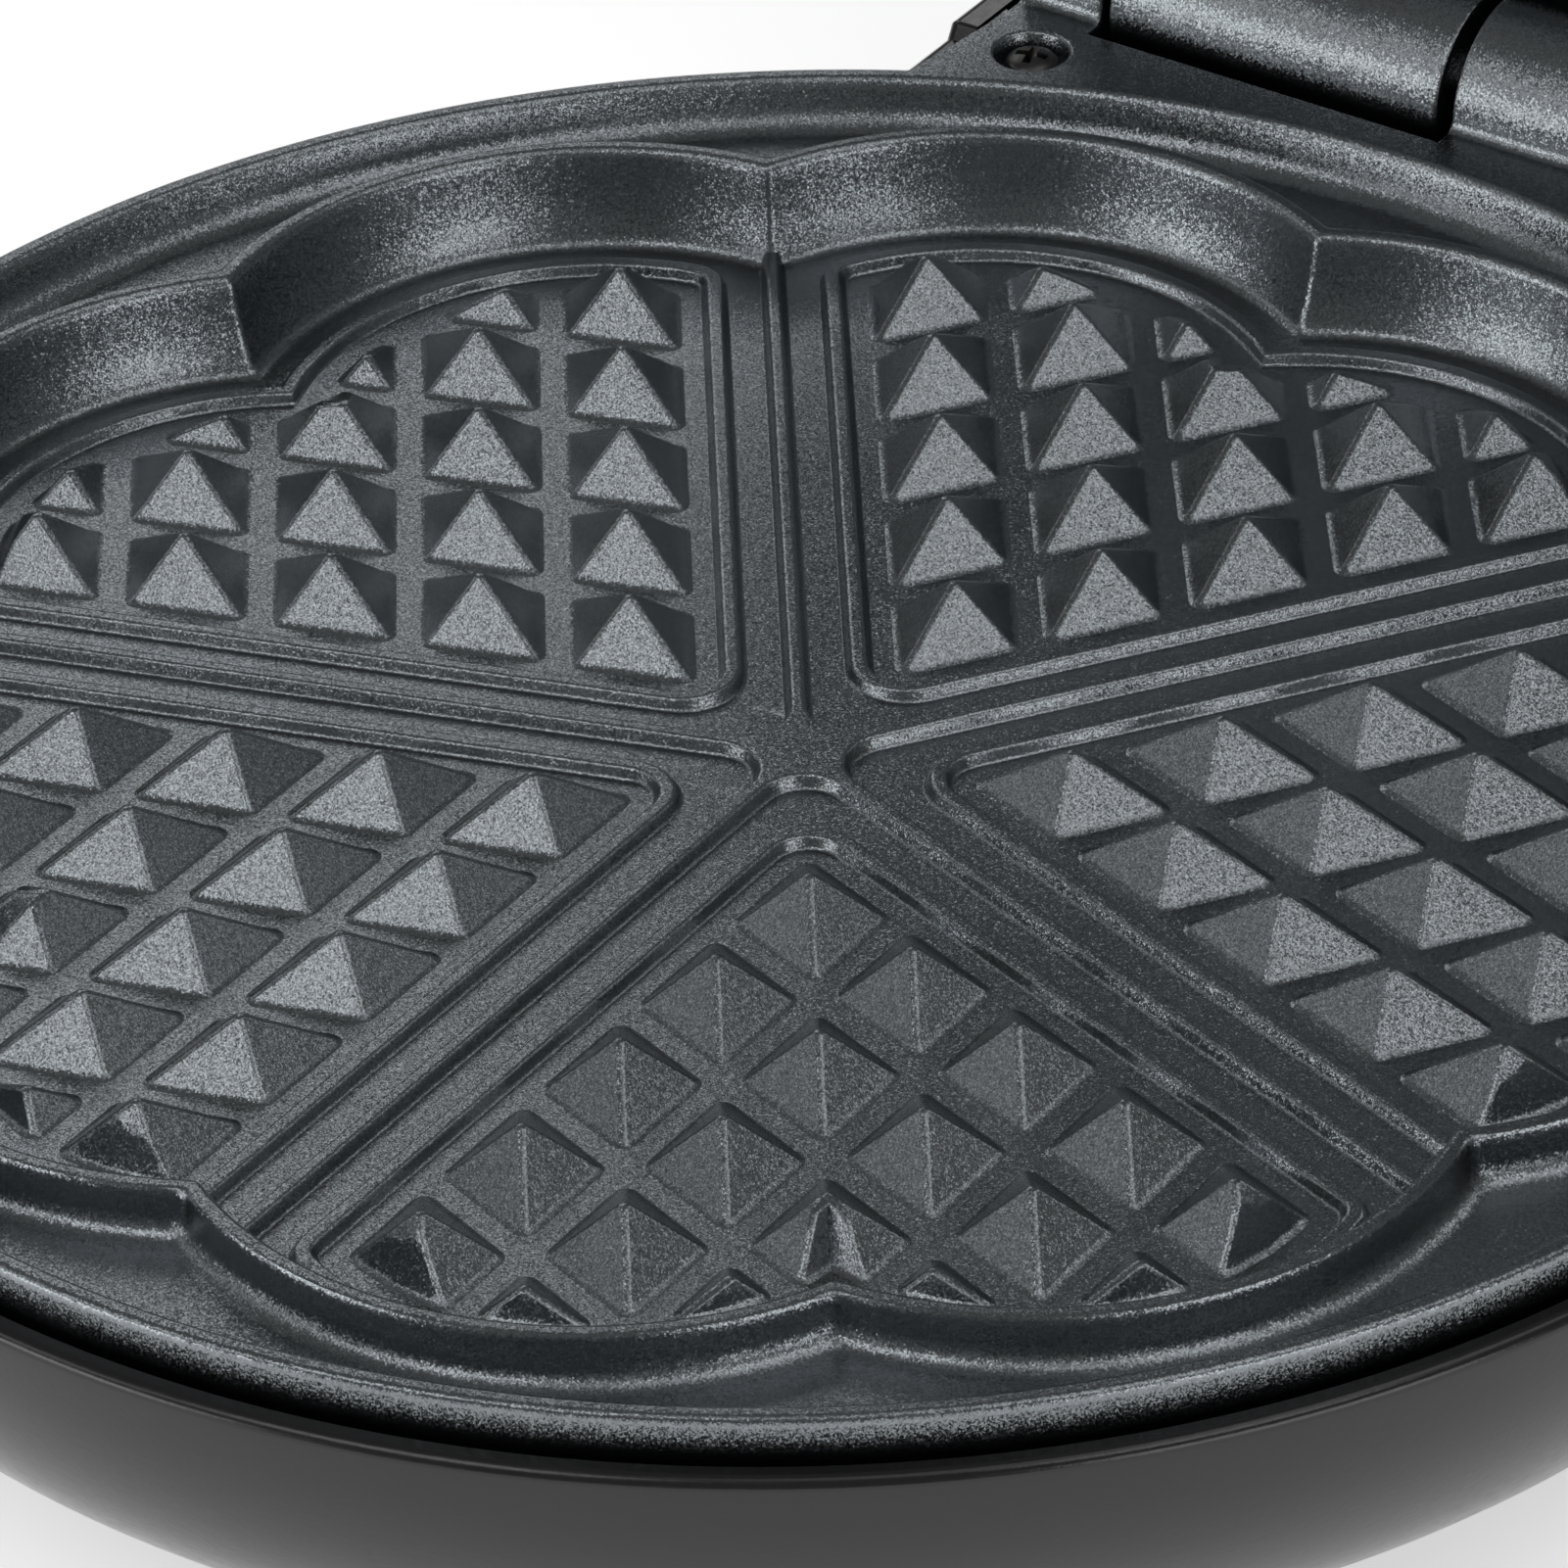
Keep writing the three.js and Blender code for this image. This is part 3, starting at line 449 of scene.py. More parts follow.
# (lobe radius, corner radius, height above the floor) up the wall, over the lip, to the channel.
LIP = [
    (30.0, 1.0, 0.0), (30.45, 1.0, 0.06), (30.85, 1.0, 0.26), (31.15, 1.0, 0.6), (31.38, 1.0, 1.1),
    (31.85, 1.0, 2.2), (32.27, 0.9, 3.5), (32.63, 0.9, 4.9), (32.94, 0.8, 6.3), (33.22, 0.8, 7.7),
    (33.38, 0.8, 8.15), (33.68, 0.8, 8.48), (34.1, 0.9, 8.6), (34.5, 1.0, 8.6), (34.85, 1.2, 8.5),
    (35.05, 1.4, 8.2), (35.12, 1.6, 7.6), (35.28, 2.2, 6.3), (35.5, 2.4, 5.55), (35.95, 2.6, 4.95),
    (36.6, 2.8, 4.6), (37.3, 3.0, 4.5),
]
# (radius, height above the floor) from the channel over the rim and round to the underside.
RIM = [
    (91.7, 4.5), (92.4, 4.6), (93.15, 4.95), (93.8, 5.5), (94.25, 6.3), (94.7, 7.6), (94.92, 8.2),
    (95.25, 8.62), (95.7, 8.8), (96.2, 8.8), (96.6, 8.7), (96.82, 8.4), (96.9, 7.9), (96.9, 2.2),
    (95.6, 0.8), (90.5, 0.3), (86.5, -4.0),
]


def lobed_loop(radius, corner):
    """The ten-lobed outline, with a small arc in each cusp."""
    reach = LOBE_ALONG + math.sqrt((radius + corner) ** 2 - LOBE_ACROSS ** 2)
    half_arc = math.atan2(reach * math.sin(LOBE_HALF), reach * math.cos(LOBE_HALF) - LOBE_R)
    swing = half_arc - LOBE_HALF
    points = []
    for lobe in range(2 * ARMS):
        axis = FIRST_ARM + LOBE_HALF * (2 * lobe + 1)
        for i in range(ARC_STEPS + 1):
            points.append(LOBE_R * unit(axis) + radius * unit(axis + half_arc * (2 * i / ARC_STEPS - 1)))
        inward = axis + LOBE_HALF + math.pi
        for i in range(1, CORNER_STEPS):
            turn = inward + swing * (1 - 2 * i / CORNER_STEPS)
            points.append(reach * unit(axis + LOBE_HALF) + corner * unit(turn))
    return np.array(points)


def plate_blank():
    rings = [at_height(lobed_loop(radius, corner), FLOOR + z) for radius, corner, z in LIP]
    directions = rings[-1][:, :2] / np.linalg.norm(rings[-1][:, :2], axis=1)[:, None]
    rings += [at_height(radius * directions, FLOOR + z) for radius, z in RIM]
    return stacked(rings)


# Pyramids on a rhombic grid laid along two neighbouring arms, cut off round the edge of the field.
PYRAMID_PITCH, PYRAMID_FIRST, PYRAMID_ROWS = 13.0, 14.06, 5
PYRAMID_APEX, PYRAMID_SLOPE = 4.9, 1.0036
EDGE_ROUND = 0.5                  # plan rounding of the pyramid edges
FIELD_FOOT, FIELD_DRAFT = 23.5, 0.62
FIELD_STEP, FIELD_SIDES = 4, 24   # the field's round edge: degrees between sides, sides each way
FOOT_TOP = 0.4                    # the flared foot ends here
FOOT_FLARE = [(-0.06, 0.42), (0.02, 0.28), (0.1, 0.16), (0.22, 0.06)]
CROWN = [(0.72, 0.075), (0.4, 0.125), (0.05, 0.145)]
CORNER_SAMPLES = [-0.5, -0.3, -0.1, 0.1, 0.3, 0.5]
CORNER_SPREAD = 0.94
CUT_TURN = 8                      # degrees between points round a pyramid that is cut off
CUT_LEVELS = 16
SECTION_NUDGE = 1e-4
HALVINGS = 30
WIDER_THAN_ALL = 40.0


def clipped(polygon, normal, limit):
    """The part of a convex polygon where normal · p is under a limit."""
    kept = []
    for a, b in zip(polygon, polygon[1:] + polygon[:1]):
        da, db = normal @ a - limit, normal @ b - limit
        if da <= 0:
            kept.append(a)
        if (da < 0 < db) or (db < 0 < da):
            kept.append(a + (b - a) * da / (da - db))
    return kept


def polygon_area(polygon):
    return 0.5 * abs(sum(a[0] * b[1] - a[1] * b[0] for a, b in zip(polygon, polygon[1:] + polygon[:1])))


def pyramid_section(centre, sides, lobe, z, shrink):
    """Level cut through a pyramid, inside one lobe of the field, shrunk by a distance."""
    reach = (PYRAMID_APEX - z) * PYRAMID_SLOPE - shrink
    if reach <= 0:
        return []
    big = WIDER_THAN_ALL
    polygon = [centre + np.array(corner) for corner in ((-big, -big), (big, -big), (big, big), (-big, big))]
    for side in sides:
        polygon = clipped(polygon, unit(side), unit(side) @ centre + reach)
    lobe_centre = LOBE_R * unit(lobe)
    radius = FIELD_FOOT - FIELD_DRAFT * z - shrink
    for step in range(-FIELD_SIDES, FIELD_SIDES + 1):
        normal = unit(lobe + math.radians(FIELD_STEP * step))
        if polygon:
            polygon = clipped(polygon, normal, normal @ lobe_centre + radius)
    return polygon


def ring_around(polygon, directions, rounding, z):
    """Points round a convex polygon, one in each direction, a distance outside it."""
    points = np.array(polygon)
    normals = np.array([unit(angle) for angle in directions])
    furthest = points[np.argmax(points @ normals.T, axis=0)]
    return at_height(furthest + rounding * normals, FLOOR + z)


def highest_section(centre, sides, lobe):
    """Height where the shrunk section vanishes, by halving."""
    low, high = FOOT_TOP, PYRAMID_APEX
    for _ in range(HALVINGS):
        middle = (low + high) / 2
        if pyramid_section(centre, sides, lobe, middle, EDGE_ROUND):
            low = middle
        else:
            high = middle
    return low


def pyramid_shell(centre, sides, lobe, is_cut):
    """One pyramid with a flared foot, rounded edges and a rounded top."""
    top = highest_section(centre, sides, lobe)
    directions = []
    for first, second in zip(sides, sides[1:] + [sides[0] + 2 * math.pi]):
        turn = (second - first) % (2 * math.pi)
        if is_cut:
            steps = max(3, round(math.degrees(turn) / CUT_TURN))
            directions += [first + turn * (i + 0.5) / steps for i in range(steps)]
        else:
            directions += [first + turn * (0.5 + CORNER_SPREAD * sample) for sample in CORNER_SAMPLES]
    rings = []
    foot = pyramid_section(centre, sides, lobe, FOOT_TOP, EDGE_ROUND)
    for z, flare in FOOT_FLARE:
        rounding = EDGE_ROUND + flare + (FOOT_TOP - z) * PYRAMID_SLOPE
        rings.append(ring_around(foot, directions, rounding, z))
    for z in np.linspace(FOOT_TOP, top, CUT_LEVELS if is_cut else 2):
        section = pyramid_section(centre, sides, lobe, z - SECTION_NUDGE, EDGE_ROUND)
        rings.append(ring_around(section, directions, EDGE_ROUND, z))
    last = pyramid_section(centre, sides, lobe, top - SECTION_NUDGE, EDGE_ROUND)
    for part, rise in CROWN:
        rings.append(ring_around(last, directions, EDGE_ROUND * part, top + rise))
    return stacked(rings)


def heart_pyramids(arm):
    """The pyramids of one heart, in two groups that don't touch within themselves."""
    first, second = unit(arm), unit(arm + ARM_STEP)
    quarter = math.pi / 2
    sides = [arm - quarter, arm + ARM_STEP - quarter, arm + quarter, arm + ARM_STEP + quarter]
    lobes = [arm + LOBE_HALF, arm + ARM_STEP - LOBE_HALF]
    whole = 4 * ((PYRAMID_APEX - FOOT_TOP) * PYRAMID_SLOPE - EDGE_ROUND) ** 2 / math.sin(ARM_STEP)
    smallest = 1                  # square millimetres
    groups = [[], []]
    for i in range(PYRAMID_ROWS):
        for j in range(PYRAMID_ROWS):
            along_first, along_second = (PYRAMID_FIRST + k * PYRAMID_PITCH for k in (i, j))
            centre = along_first * first + along_second * second
            parts = [polygon_area(pyramid_section(centre, sides, lobe, FOOT_TOP, EDGE_ROUND) or [np.zeros(2)])
                     for lobe in lobes]
            main_lobe = lobes[int(np.argmax(parts))]
            if max(parts) > 0.999 * whole:
                groups[0].append(pyramid_shell(centre, sides, main_lobe, False))
            elif i == j and min(parts) > smallest:
                groups[0].append(pyramid_shell(centre, sides, lobes[0], True))
                groups[1].append(pyramid_shell(centre, sides, lobes[1], True))
            elif max(parts) > smallest:
                groups[0].append(pyramid_shell(centre, sides, main_lobe, True))
    return groups


# (offset from the middle line, height) over a bead or a ridge.
BEAD_SIDE = [(1.42, -0.07), (1.2, 0.02), (1.06, 0.1), (0.96, 0.27), (0.74, 0.74), (0.63, 0.9), (0.48, 0.98),
             (0.3, 1.0)]
RIDGE_SIDE = [(1.4, -0.07), (1.16, 0.02), (1.01, 0.11), (0.91, 0.3), (0.68, 0.86), (0.57, 1.03), (0.43, 1.12),
              (0.25, 1.14)]
BEAD_FROM_ARM, BEAD_LOBE_R = 5.2, 27.0
BEAD_CORNER_R, BEAD_TIP_R = 2.4, 4.0
BEAD_ARC_GAP = 0.12               # radians of each lobe's arc left to the corner's fillet


def arc(centre, radius, start, end, steps):
    return [centre + radius * unit(start + (end - start) * i / steps) for i in range(steps + 1)]


def rounded_corner(before, corner, after, radius, steps=5):
    """Points of a fillet where two straight directions meet."""
    u = (before - corner) / np.linalg.norm(before - corner)
    v = (after - corner) / np.linalg.norm(after - corner)
    half = math.acos(np.clip(u @ v, -1, 1)) / 2
    middle = (u + v) / np.linalg.norm(u + v)
    centre = corner + middle * radius / math.sin(half)
    start, end = corner + u * radius / math.tan(half) - centre, corner + v * radius / math.tan(half) - centre
    a, b = math.atan2(start[1], start[0]), math.atan2(end[1], end[0])
    b = a + (b - a + math.pi) % (2 * math.pi) - math.pi
    return arc(centre, radius, a, b, steps)


def bead_path(arm):
    """Middle line of the bead round one heart, starting at the heart's tip."""
    next_arm = arm + ARM_STEP
    lobes = [arm + LOBE_HALF, next_arm - LOBE_HALF]
    across = LOBE_ACROSS - BEAD_FROM_ARM
    along = math.sqrt(BEAD_LOBE_R ** 2 - across ** 2)
    side_end = math.atan2(-across, along) - LOBE_HALF
    dip = LOBE_ALONG + math.sqrt(BEAD_LOBE_R ** 2 - LOBE_ACROSS ** 2)
    dip_angle = math.atan2(dip * math.sin(LOBE_HALF), dip * math.cos(LOBE_HALF) - LOBE_R)
    tip = BEAD_FROM_ARM / math.sin(ARM_STEP / 2) * unit(arm + ARM_STEP / 2)
    first_corner = LOBE_R * unit(lobes[0]) + BEAD_LOBE_R * unit(lobes[0] + side_end)
    last_corner = LOBE_R * unit(lobes[1]) + BEAD_LOBE_R * unit(lobes[1] - side_end)
    start, end = lobes[0] + side_end + BEAD_ARC_GAP, lobes[1] - side_end - BEAD_ARC_GAP
    first_arc = arc(LOBE_R * unit(lobes[0]), BEAD_LOBE_R, start, lobes[0] + dip_angle, 20)
    second_arc = arc(LOBE_R * unit(lobes[1]), BEAD_LOBE_R, lobes[1] - dip_angle, end, 20)
    return np.array(
        rounded_corner(last_corner, tip, first_corner, BEAD_TIP_R, 8)
        + rounded_corner(tip, first_corner, first_arc[0], BEAD_CORNER_R)
        + first_arc + second_arc[1:]
        + rounded_corner(second_arc[-1], last_corner, tip, BEAD_CORNER_R)
    )


def bead(arm):
    path = bead_path(arm)
    rings = [at_height(inset(path, -offset), FLOOR + z) for offset, z in BEAD_SIDE]
    rings += [at_height(inset(path, offset), FLOOR + z) for offset, z in reversed(BEAD_SIDE)]
    return stacked(rings, closed=True)


RIDGE_END = 79.5
STAR_FILLET = 4.6                 # from the ridge's middle line to the centre of the inner corner's arc


def star_loop(half):
    """Outline of the five ridges, with round inner corners where they meet."""
    points = []
    for k in range(ARMS):
        arm = FIRST_ARM + k * ARM_STEP
        along, across = unit(arm), unit(arm + math.pi / 2)
        points += [RIDGE_END * along - half * across, RIDGE_END * along + half * across]
        fillet = STAR_FILLET - half
        middle = unit(arm + ARM_STEP / 2)
        centre = STAR_FILLET / math.sin(ARM_STEP / 2) * middle
        sweep = math.pi / 2 - ARM_STEP / 2
        facing = arm + ARM_STEP / 2 + math.pi
        points += arc(centre, fillet, facing + sweep, facing - sweep, 8)
    return np.array(points)


def ridges():
    return stacked([at_height(star_loop(half), FLOOR + z) for half, z in RIDGE_SIDE])


# Lug and knuckles at the hinge.
KNUCKLE_R, PIN_BORE_R = 8.8, 2.75
KNUCKLE_SPANS = [(-44.2, -35.6), (0.7, 35.0)]
LUG_LOW, LUG_INNER_R = -9.7, 96.05
PLATE_HOLE_R = 2.3
LUG_SIDE = [(-45.7, 84.5), (-44.9, 90.0), (-44.2, 95.5), (-44.2, 98.7)]
PLATE_SCREW = (38.2, 93.6)


def hinge_lug():
    """The flat ear behind the rim that carries the knuckles and the plate screws."""
    start = math.atan2(LUG_SIDE[0][1], LUG_SIDE[0][0])
    inner = [LUG_INNER_R * unit(angle) for angle in np.linspace(math.pi - start, start, 24)]
    right = [np.array([-x, y]) for x, y in reversed(LUG_SIDE)]
    left = [np.array(point) for point in LUG_SIDE]
    loop = np.array(inner + left[1:] + right[:-1])[::-1]
    return stacked([at_height(loop, LUG_LOW), at_height(loop, RIM_TOP)])


def knuckle(low, high):
    """A hinge barrel with its foot on the lug, drawn in (y, z) and carried along X."""
    foot_y, edge = 97.0, 0.55
    fillet = arc(np.array([100.25, 0.75]), 0.95, -math.pi / 2, 0, 4)
    barrel = arc(np.array([HINGE_Y, 0]), KNUCKLE_R, math.radians(175), -math.pi / 2, 32)
    loop = np.array([(foot_y, RIM_TOP)] + [tuple(p) for p in fillet] + [tuple(p) for p in barrel]
                    + [(100.0, -KNUCKLE_R), (foot_y, LUG_LOW + 0.6)])[::-1]
    levels = [(low, edge), (low + 0.16, 0.16), (low + edge, 0.0), (high - edge, 0.0), (high - 0.16, 0.16),
              (high, edge)]
    return stacked([np.column_stack([np.full(len(loop), x), inset(loop, d)]) for x, d in levels])


def plate_screw_dish(side):
    x, y = side * PLATE_SCREW[0], PLATE_SCREW[1]
    dish = turned([(2.9, -2.3), (3.38, -0.5), (3.55, -0.27), (3.85, -0.19), (3.85, 1.0)], 40)
    return moved(dish, (x, y, 0))


def waffle_plate():
    plate = plate_blank()
    groups = [heart_pyramids(FIRST_ARM + k * ARM_STEP) for k in range(ARMS)]
    raised = gathered([obj for group in groups for obj in group[0]]
                      + [bead(FIRST_ARM + k * ARM_STEP) for k in range(ARMS)])
    halves = gathered([obj for group in groups for obj in group[1]])
    plate = joined(plate, raised, halves, ridges(), hinge_lug())
    plate = joined(plate, *[knuckle(low, high) for low, high in KNUCKLE_SPANS])
    bore = moved(bar(PIN_BORE_R, -60, 60, 40), (0, HINGE_Y, 0), (90, "Y"))
    holes = [bar(PLATE_HOLE_R, -20, 1, 24, (side * PLATE_SCREW[0], PLATE_SCREW[1])) for side in (-1, 1)]
    return cut(plate, bore, *holes, plate_screw_dish(-1), plate_screw_dish(1))


def build_plates():
    lower = waffle_plate()
    upper = copied(lower)
    finished(lower, "lower_waffle_casting", BASE, "base", COATING, ["lower_plate"], 40)
    finished(upper, "upper_waffle_casting", LID, "lid", COATING, ["upper_plate"], 40)


build_plates()

# ---- housings ------------------------------------------------------------------------------

BOTTOM = -34.0
SHELL_R, SHELL_FLAT_R, SHELL_WALL, SHELL_EDGE = 100.0, 76.0, 1.8, -3.5
BLOCK_HALF, BLOCK_WALL, BLOCK_START_Y, BLOCK_EDGE, CHEEK_TOP = 49.5, 2.5, 60, 1.1, -2.1
TROUGH_HALF, TROUGH_FLOOR = 46.5, -10.0
ABOVE_ALL = 5                     # cutters reach this far past the parting plane
LOWER_BACK_Y, UPPER_BACK_Y = 124.0, 108.0
DOME_RISE = 2.5
CONTROL = (0.0, -55.0)
LAMP_X, LAMP_Y = 24.0, -38.0
LIP_ROUND, LIP_ROOM = 1.0, 1.1    # rounding of the bowls' edges, and the height left for it
POST_R, POST_HOLE_R = 4.5, 2.1
SPINDLE_HOLE_R, LAMP_HOLE_R, GLAND_HOLE_R = 4, 3.6, 5.4
COVER_POST_R, COVER_POST_HOLE_R = 3.6, 1.7
ROUND_COUNT = 200                 # points round the bowls


def bowl_side(offset, steps=22):
    """Quarter ellipse from the flat bottom up to the edge, from the middle outwards."""
    points = []
    for i in range(steps + 1):
        angle = i / steps * math.pi / 2
        radius = SHELL_FLAT_R + (SHELL_R - SHELL_FLAT_R) * math.sin(angle) - offset
        height = BOTTOM + (SHELL_EDGE - BOTTOM) * (1 - math.cos(angle)) + offset * math.cos(angle)
        points.append((radius, height))
    return points


def outer_bowl(start):
    side = [point for point in bowl_side(0) if point[1] < SHELL_EDGE - LIP_ROOM]
    lip = [(SHELL_R - LIP_ROUND * (1 - math.cos(angle)), SHELL_EDGE - LIP_ROUND * (1 - math.sin(angle)))
           for angle in np.linspace(0, math.pi / 2, 9)]
    return turned(start + side + lip, ROUND_COUNT)


def rounded_polygon(points, radii):
    points = [np.array(point, float) for point in points]
    loop = []
    for i, (corner, radius) in enumerate(zip(points, radii)):
        if radius:
            loop += rounded_corner(points[i - 1], corner, points[(i + 1) % len(points)], radius)
        else:
            loop.append(corner)
    return np.array(loop)


def extruded_along_x(loop, low, high, edge):
    """A (y, z) loop carried along X, its ends rounded off."""
    ends = [(1 - math.cos(angle), 1 - math.sin(angle)) for angle in np.linspace(0, math.pi / 2, 7)]
    levels = [(low + edge * along, edge * inwards) for along, inwards in ends]
    levels += [(high - edge * along, edge * inwards) for along, inwards in reversed(ends)]
    return stacked([np.column_stack([np.full(len(loop), x), inset(loop, d)]) for x, d in levels])


def hinge_block(low, back_y):
    """The block behind the bowl, whose cheeks stand a little above the bowl's edge."""
    corners = [(BLOCK_START_Y, low), (back_y, low), (back_y, CHEEK_TOP), (97.3, CHEEK_TOP),
               (96.4, SHELL_EDGE), (BLOCK_START_Y, SHELL_EDGE)]
    loop = rounded_polygon(corners, [0, 3, 1.6, 0.5, 0, 0])
    return extruded_along_x(loop, -BLOCK_HALF, BLOCK_HALF, BLOCK_EDGE)


def inner_cuts(profile, low, back_y, trough_back):
    """Cutters: the bowl's inside, the block's room under the trough, and the trough of the hinge."""
    inside = turned(profile + [(SHELL_R - SHELL_WALL, ABOVE_ALL)], ROUND_COUNT)
    room = block((-BLOCK_HALF + BLOCK_WALL, BLOCK_START_Y, low + BLOCK_WALL),
                 (BLOCK_HALF - BLOCK_WALL, back_y - BLOCK_WALL, TROUGH_FLOOR - BLOCK_WALL))
    trough = block((-TROUGH_HALF, BLOCK_START_Y, TROUGH_FLOOR), (TROUGH_HALF, trough_back, ABOVE_ALL))
    return inside, room, trough


def plate_screw_posts(low):
    spots = [(side * PLATE_SCREW[0], PLATE_SCREW[1]) for side in (-1, 1)]
    posts = [bar(POST_R, low, TROUGH_FLOOR, 32, spot) for spot in spots]
    holes = [bar(POST_HOLE_R, -19, 2, 20, spot) for spot in spots]
    return posts, holes


OPENING_R, COVER_R, COVER_SCREW_R = 55.0, 64.5, 60.0
COVER_SCREW_ANGLES = [math.radians(degrees) for degrees in (90, 210, 330)]
GLAND_X, GLAND_Z = 24.0, -22.0


def lower_shell():
    shell = joined(outer_bowl([(1, BOTTOM)]), hinge_block(BOTTOM, LOWER_BACK_Y))
    start = [(1, BOTTOM + SHELL_WALL)] + bowl_side(SHELL_WALL)
    inside, room, trough = inner_cuts(start, BOTTOM, LOWER_BACK_Y, LOWER_BACK_Y - BLOCK_WALL)
    opening = bar(OPENING_R, BOTTOM - 1, BOTTOM + 5, 96)
    gland_hole = moved(bar(GLAND_HOLE_R, 0, 10, 32), (GLAND_X, LOWER_BACK_Y - 5, GLAND_Z), (-90, "X"))
    shell = cut(shell, inside, room, trough, opening, gland_hole)
    posts, holes = plate_screw_posts(BOTTOM + 1)
    spots = [COVER_SCREW_R * unit(angle) for angle in COVER_SCREW_ANGLES]
    shell = joined(shell, *posts, *[bar(COVER_POST_R, BOTTOM + 0.5, BOTTOM + 9, 24, spot) for spot in spots])
    return cut(shell, *holes, *[bar(COVER_POST_HOLE_R, BOTTOM - 1, BOTTOM + 8, 16, spot) for spot in spots])


def dome(offset):
    """Profile of the lid's slightly raised middle."""
    crown = BOTTOM - DOME_RISE + offset
    return [(max(SHELL_FLAT_R * part, 1), crown + DOME_RISE * part ** 2) for part in np.linspace(0, 0.94, 9)]


def upper_shell():
    roof = BOTTOM + 4
    shell = joined(outer_bowl(dome(0)), hinge_block(roof, UPPER_BACK_Y))
    start = dome(SHELL_WALL) + bowl_side(SHELL_WALL)
    inside, room, trough = inner_cuts(start, roof, UPPER_BACK_Y, UPPER_BACK_Y + 1)
    through = (BOTTOM - 5, BOTTOM + 5, 32)
    lamp_holes = [bar(LAMP_HOLE_R, *through, (side * LAMP_X, LAMP_Y)) for side in (-1, 1)]
    shell = cut(shell, inside, room, trough, bar(SPINDLE_HOLE_R, *through, CONTROL), *lamp_holes)
    posts, holes = plate_screw_posts(roof + 1)
    return cut(joined(shell, *posts), *holes)


VENTS, VENT_FROM, VENT_TO, VENT_HALF = 6, 22, 40, 2


def stadium(near, far, radius, steps):
    """A slot's outline along +X, with round ends."""
    quarter = math.pi / 2
    return np.array(arc(np.array([far, 0]), radius, -quarter, quarter, steps)
                    + arc(np.array([near, 0]), radius, quarter, 3 * quarter, steps))


def base_cover():
    low, high = BOTTOM - 2.1, BOTTOM - 0.3
    disc = turned([(1, low), (COVER_R - 0.9, low), (COVER_R - 0.3, low + 0.25), (COVER_R, low + 0.9),
                   (COVER_R, high), (1, high)], 144)
    levels = [(low - 1, -1.0), (low, -0.35), (low + 0.35, 0.0), (high + 1, 0.0)]
    vent = stadium(VENT_FROM, VENT_TO, VENT_HALF, 8)
    slots = [moved(pillowed(vent, levels), rotation=(360 / VENTS * i, "Z")) for i in range(VENTS)]
    holes = [bar(1.9, low - 1, high + 1, 20, COVER_SCREW_R * unit(angle)) for angle in COVER_SCREW_ANGLES]
    return cut(disc, *slots, *holes)


# ---- small parts ---------------------------------------------------------------------------

THREAD_PITCH = 0.8
THREAD_ROOT = 0.8                 # radius of the thread's root, as a part of the shank's


def screw(head_r, shank_r, length):
    """Pan head with a cross recess, pointing down from z = 0."""
    thread = []
    turns = int((length - 3.4) / THREAD_PITCH)
    for i in range(turns):
        z = -length + 1.4 + THREAD_PITCH * i
        thread += [(shank_r * THREAD_ROOT, z), (shank_r, z + THREAD_PITCH / 2)]
    profile = [(0.15, -length)] + thread + [
        (shank_r, -1.6), (head_r, -1.6), (head_r, -1.15), (head_r * 0.95, -0.8), (head_r * 0.82, -0.45),
        (head_r * 0.6, -0.22), (head_r * 0.3, -0.08), (0.1, -0.05),
    ]
    body = turned(profile, 40)
    for angle in (0, 90):
        recess = []
        for z, half, width in ((0.3, 0.66, 0.17), (-0.3, 0.58, 0.15), (-1.3, 0.24, 0.1)):
            corners = np.array([(-half, -width), (half, -width), (half, width), (-half, width)]) * head_r
            recess.append(at_height(corners, z))
        body = cut(body, moved(stacked(recess), rotation=(angle, "Z")))
    return body


FEET = {"front_left": (-46, -54), "front_right": (46, -54), "rear_left": (-38, 110), "rear_right": (38, 110)}


def foot():
    sole, top = -40.0, BOTTOM - 0.3
    return turned([(2.6, sole + 0.7), (3.4, sole + 0.55), (3.9, sole + 0.15), (4.4, sole), (5.1, sole),
                   (5.7, sole + 0.22), (6.0, sole + 0.8), (6.3, sole + 3), (6.5, top - 0.5), (6.6, top - 0.1),
                   (6.55, top)], 48)


def cord_gland():
    """A rubber bushing snapped into the block's back wall, open through its middle."""
    profile = [(3.4, -3.5), (6.4, -3.5), (6.6, -3.3), (6.6, -0.3), (5, -0.3), (5, 2.8), (7.3, 2.8),
               (7.5, 3.0), (7.5, 3.8), (7.3, 4.1), (6.7, 4.4), (6.1, 5.1), (5.7, 5.5), (3.9, 5.5), (3.4, 5.2)]
    rings = [at_height(circle(radius, 48), z) for radius, z in profile]
    seat = (GLAND_X, LOWER_BACK_Y - BLOCK_WALL, GLAND_Z)
    return moved(stacked(rings, closed=True), seat, (-90, "X"))


def hinge_pin():
    """Round head at the left, a groove for the retaining ring at the right."""
    profile = [(2.4, -46), (3.3, -45.95), (3.8, -45.7), (4, -45.3), (4, -44.8), (3.85, -44.6), (2.5, -44.6),
               (2.5, 44.7), (2, 44.7), (2, 45.4), (2.5, 45.4), (2.45, 45.7), (2.1, 46)]
    return moved(turned(profile, 40), (0, HINGE_Y, 0), (90, "Y"))


KNOB_R, KNOB_SEAT = 14.0, BOTTOM - DOME_RISE - 0.6
FLUTES, FLUTE_DEPTH, POINTS_PER_FLUTE = 28, 0.3, 6
GRIP_HALF, GRIP_SHORT_OF_EDGE = 2.3, 1.3


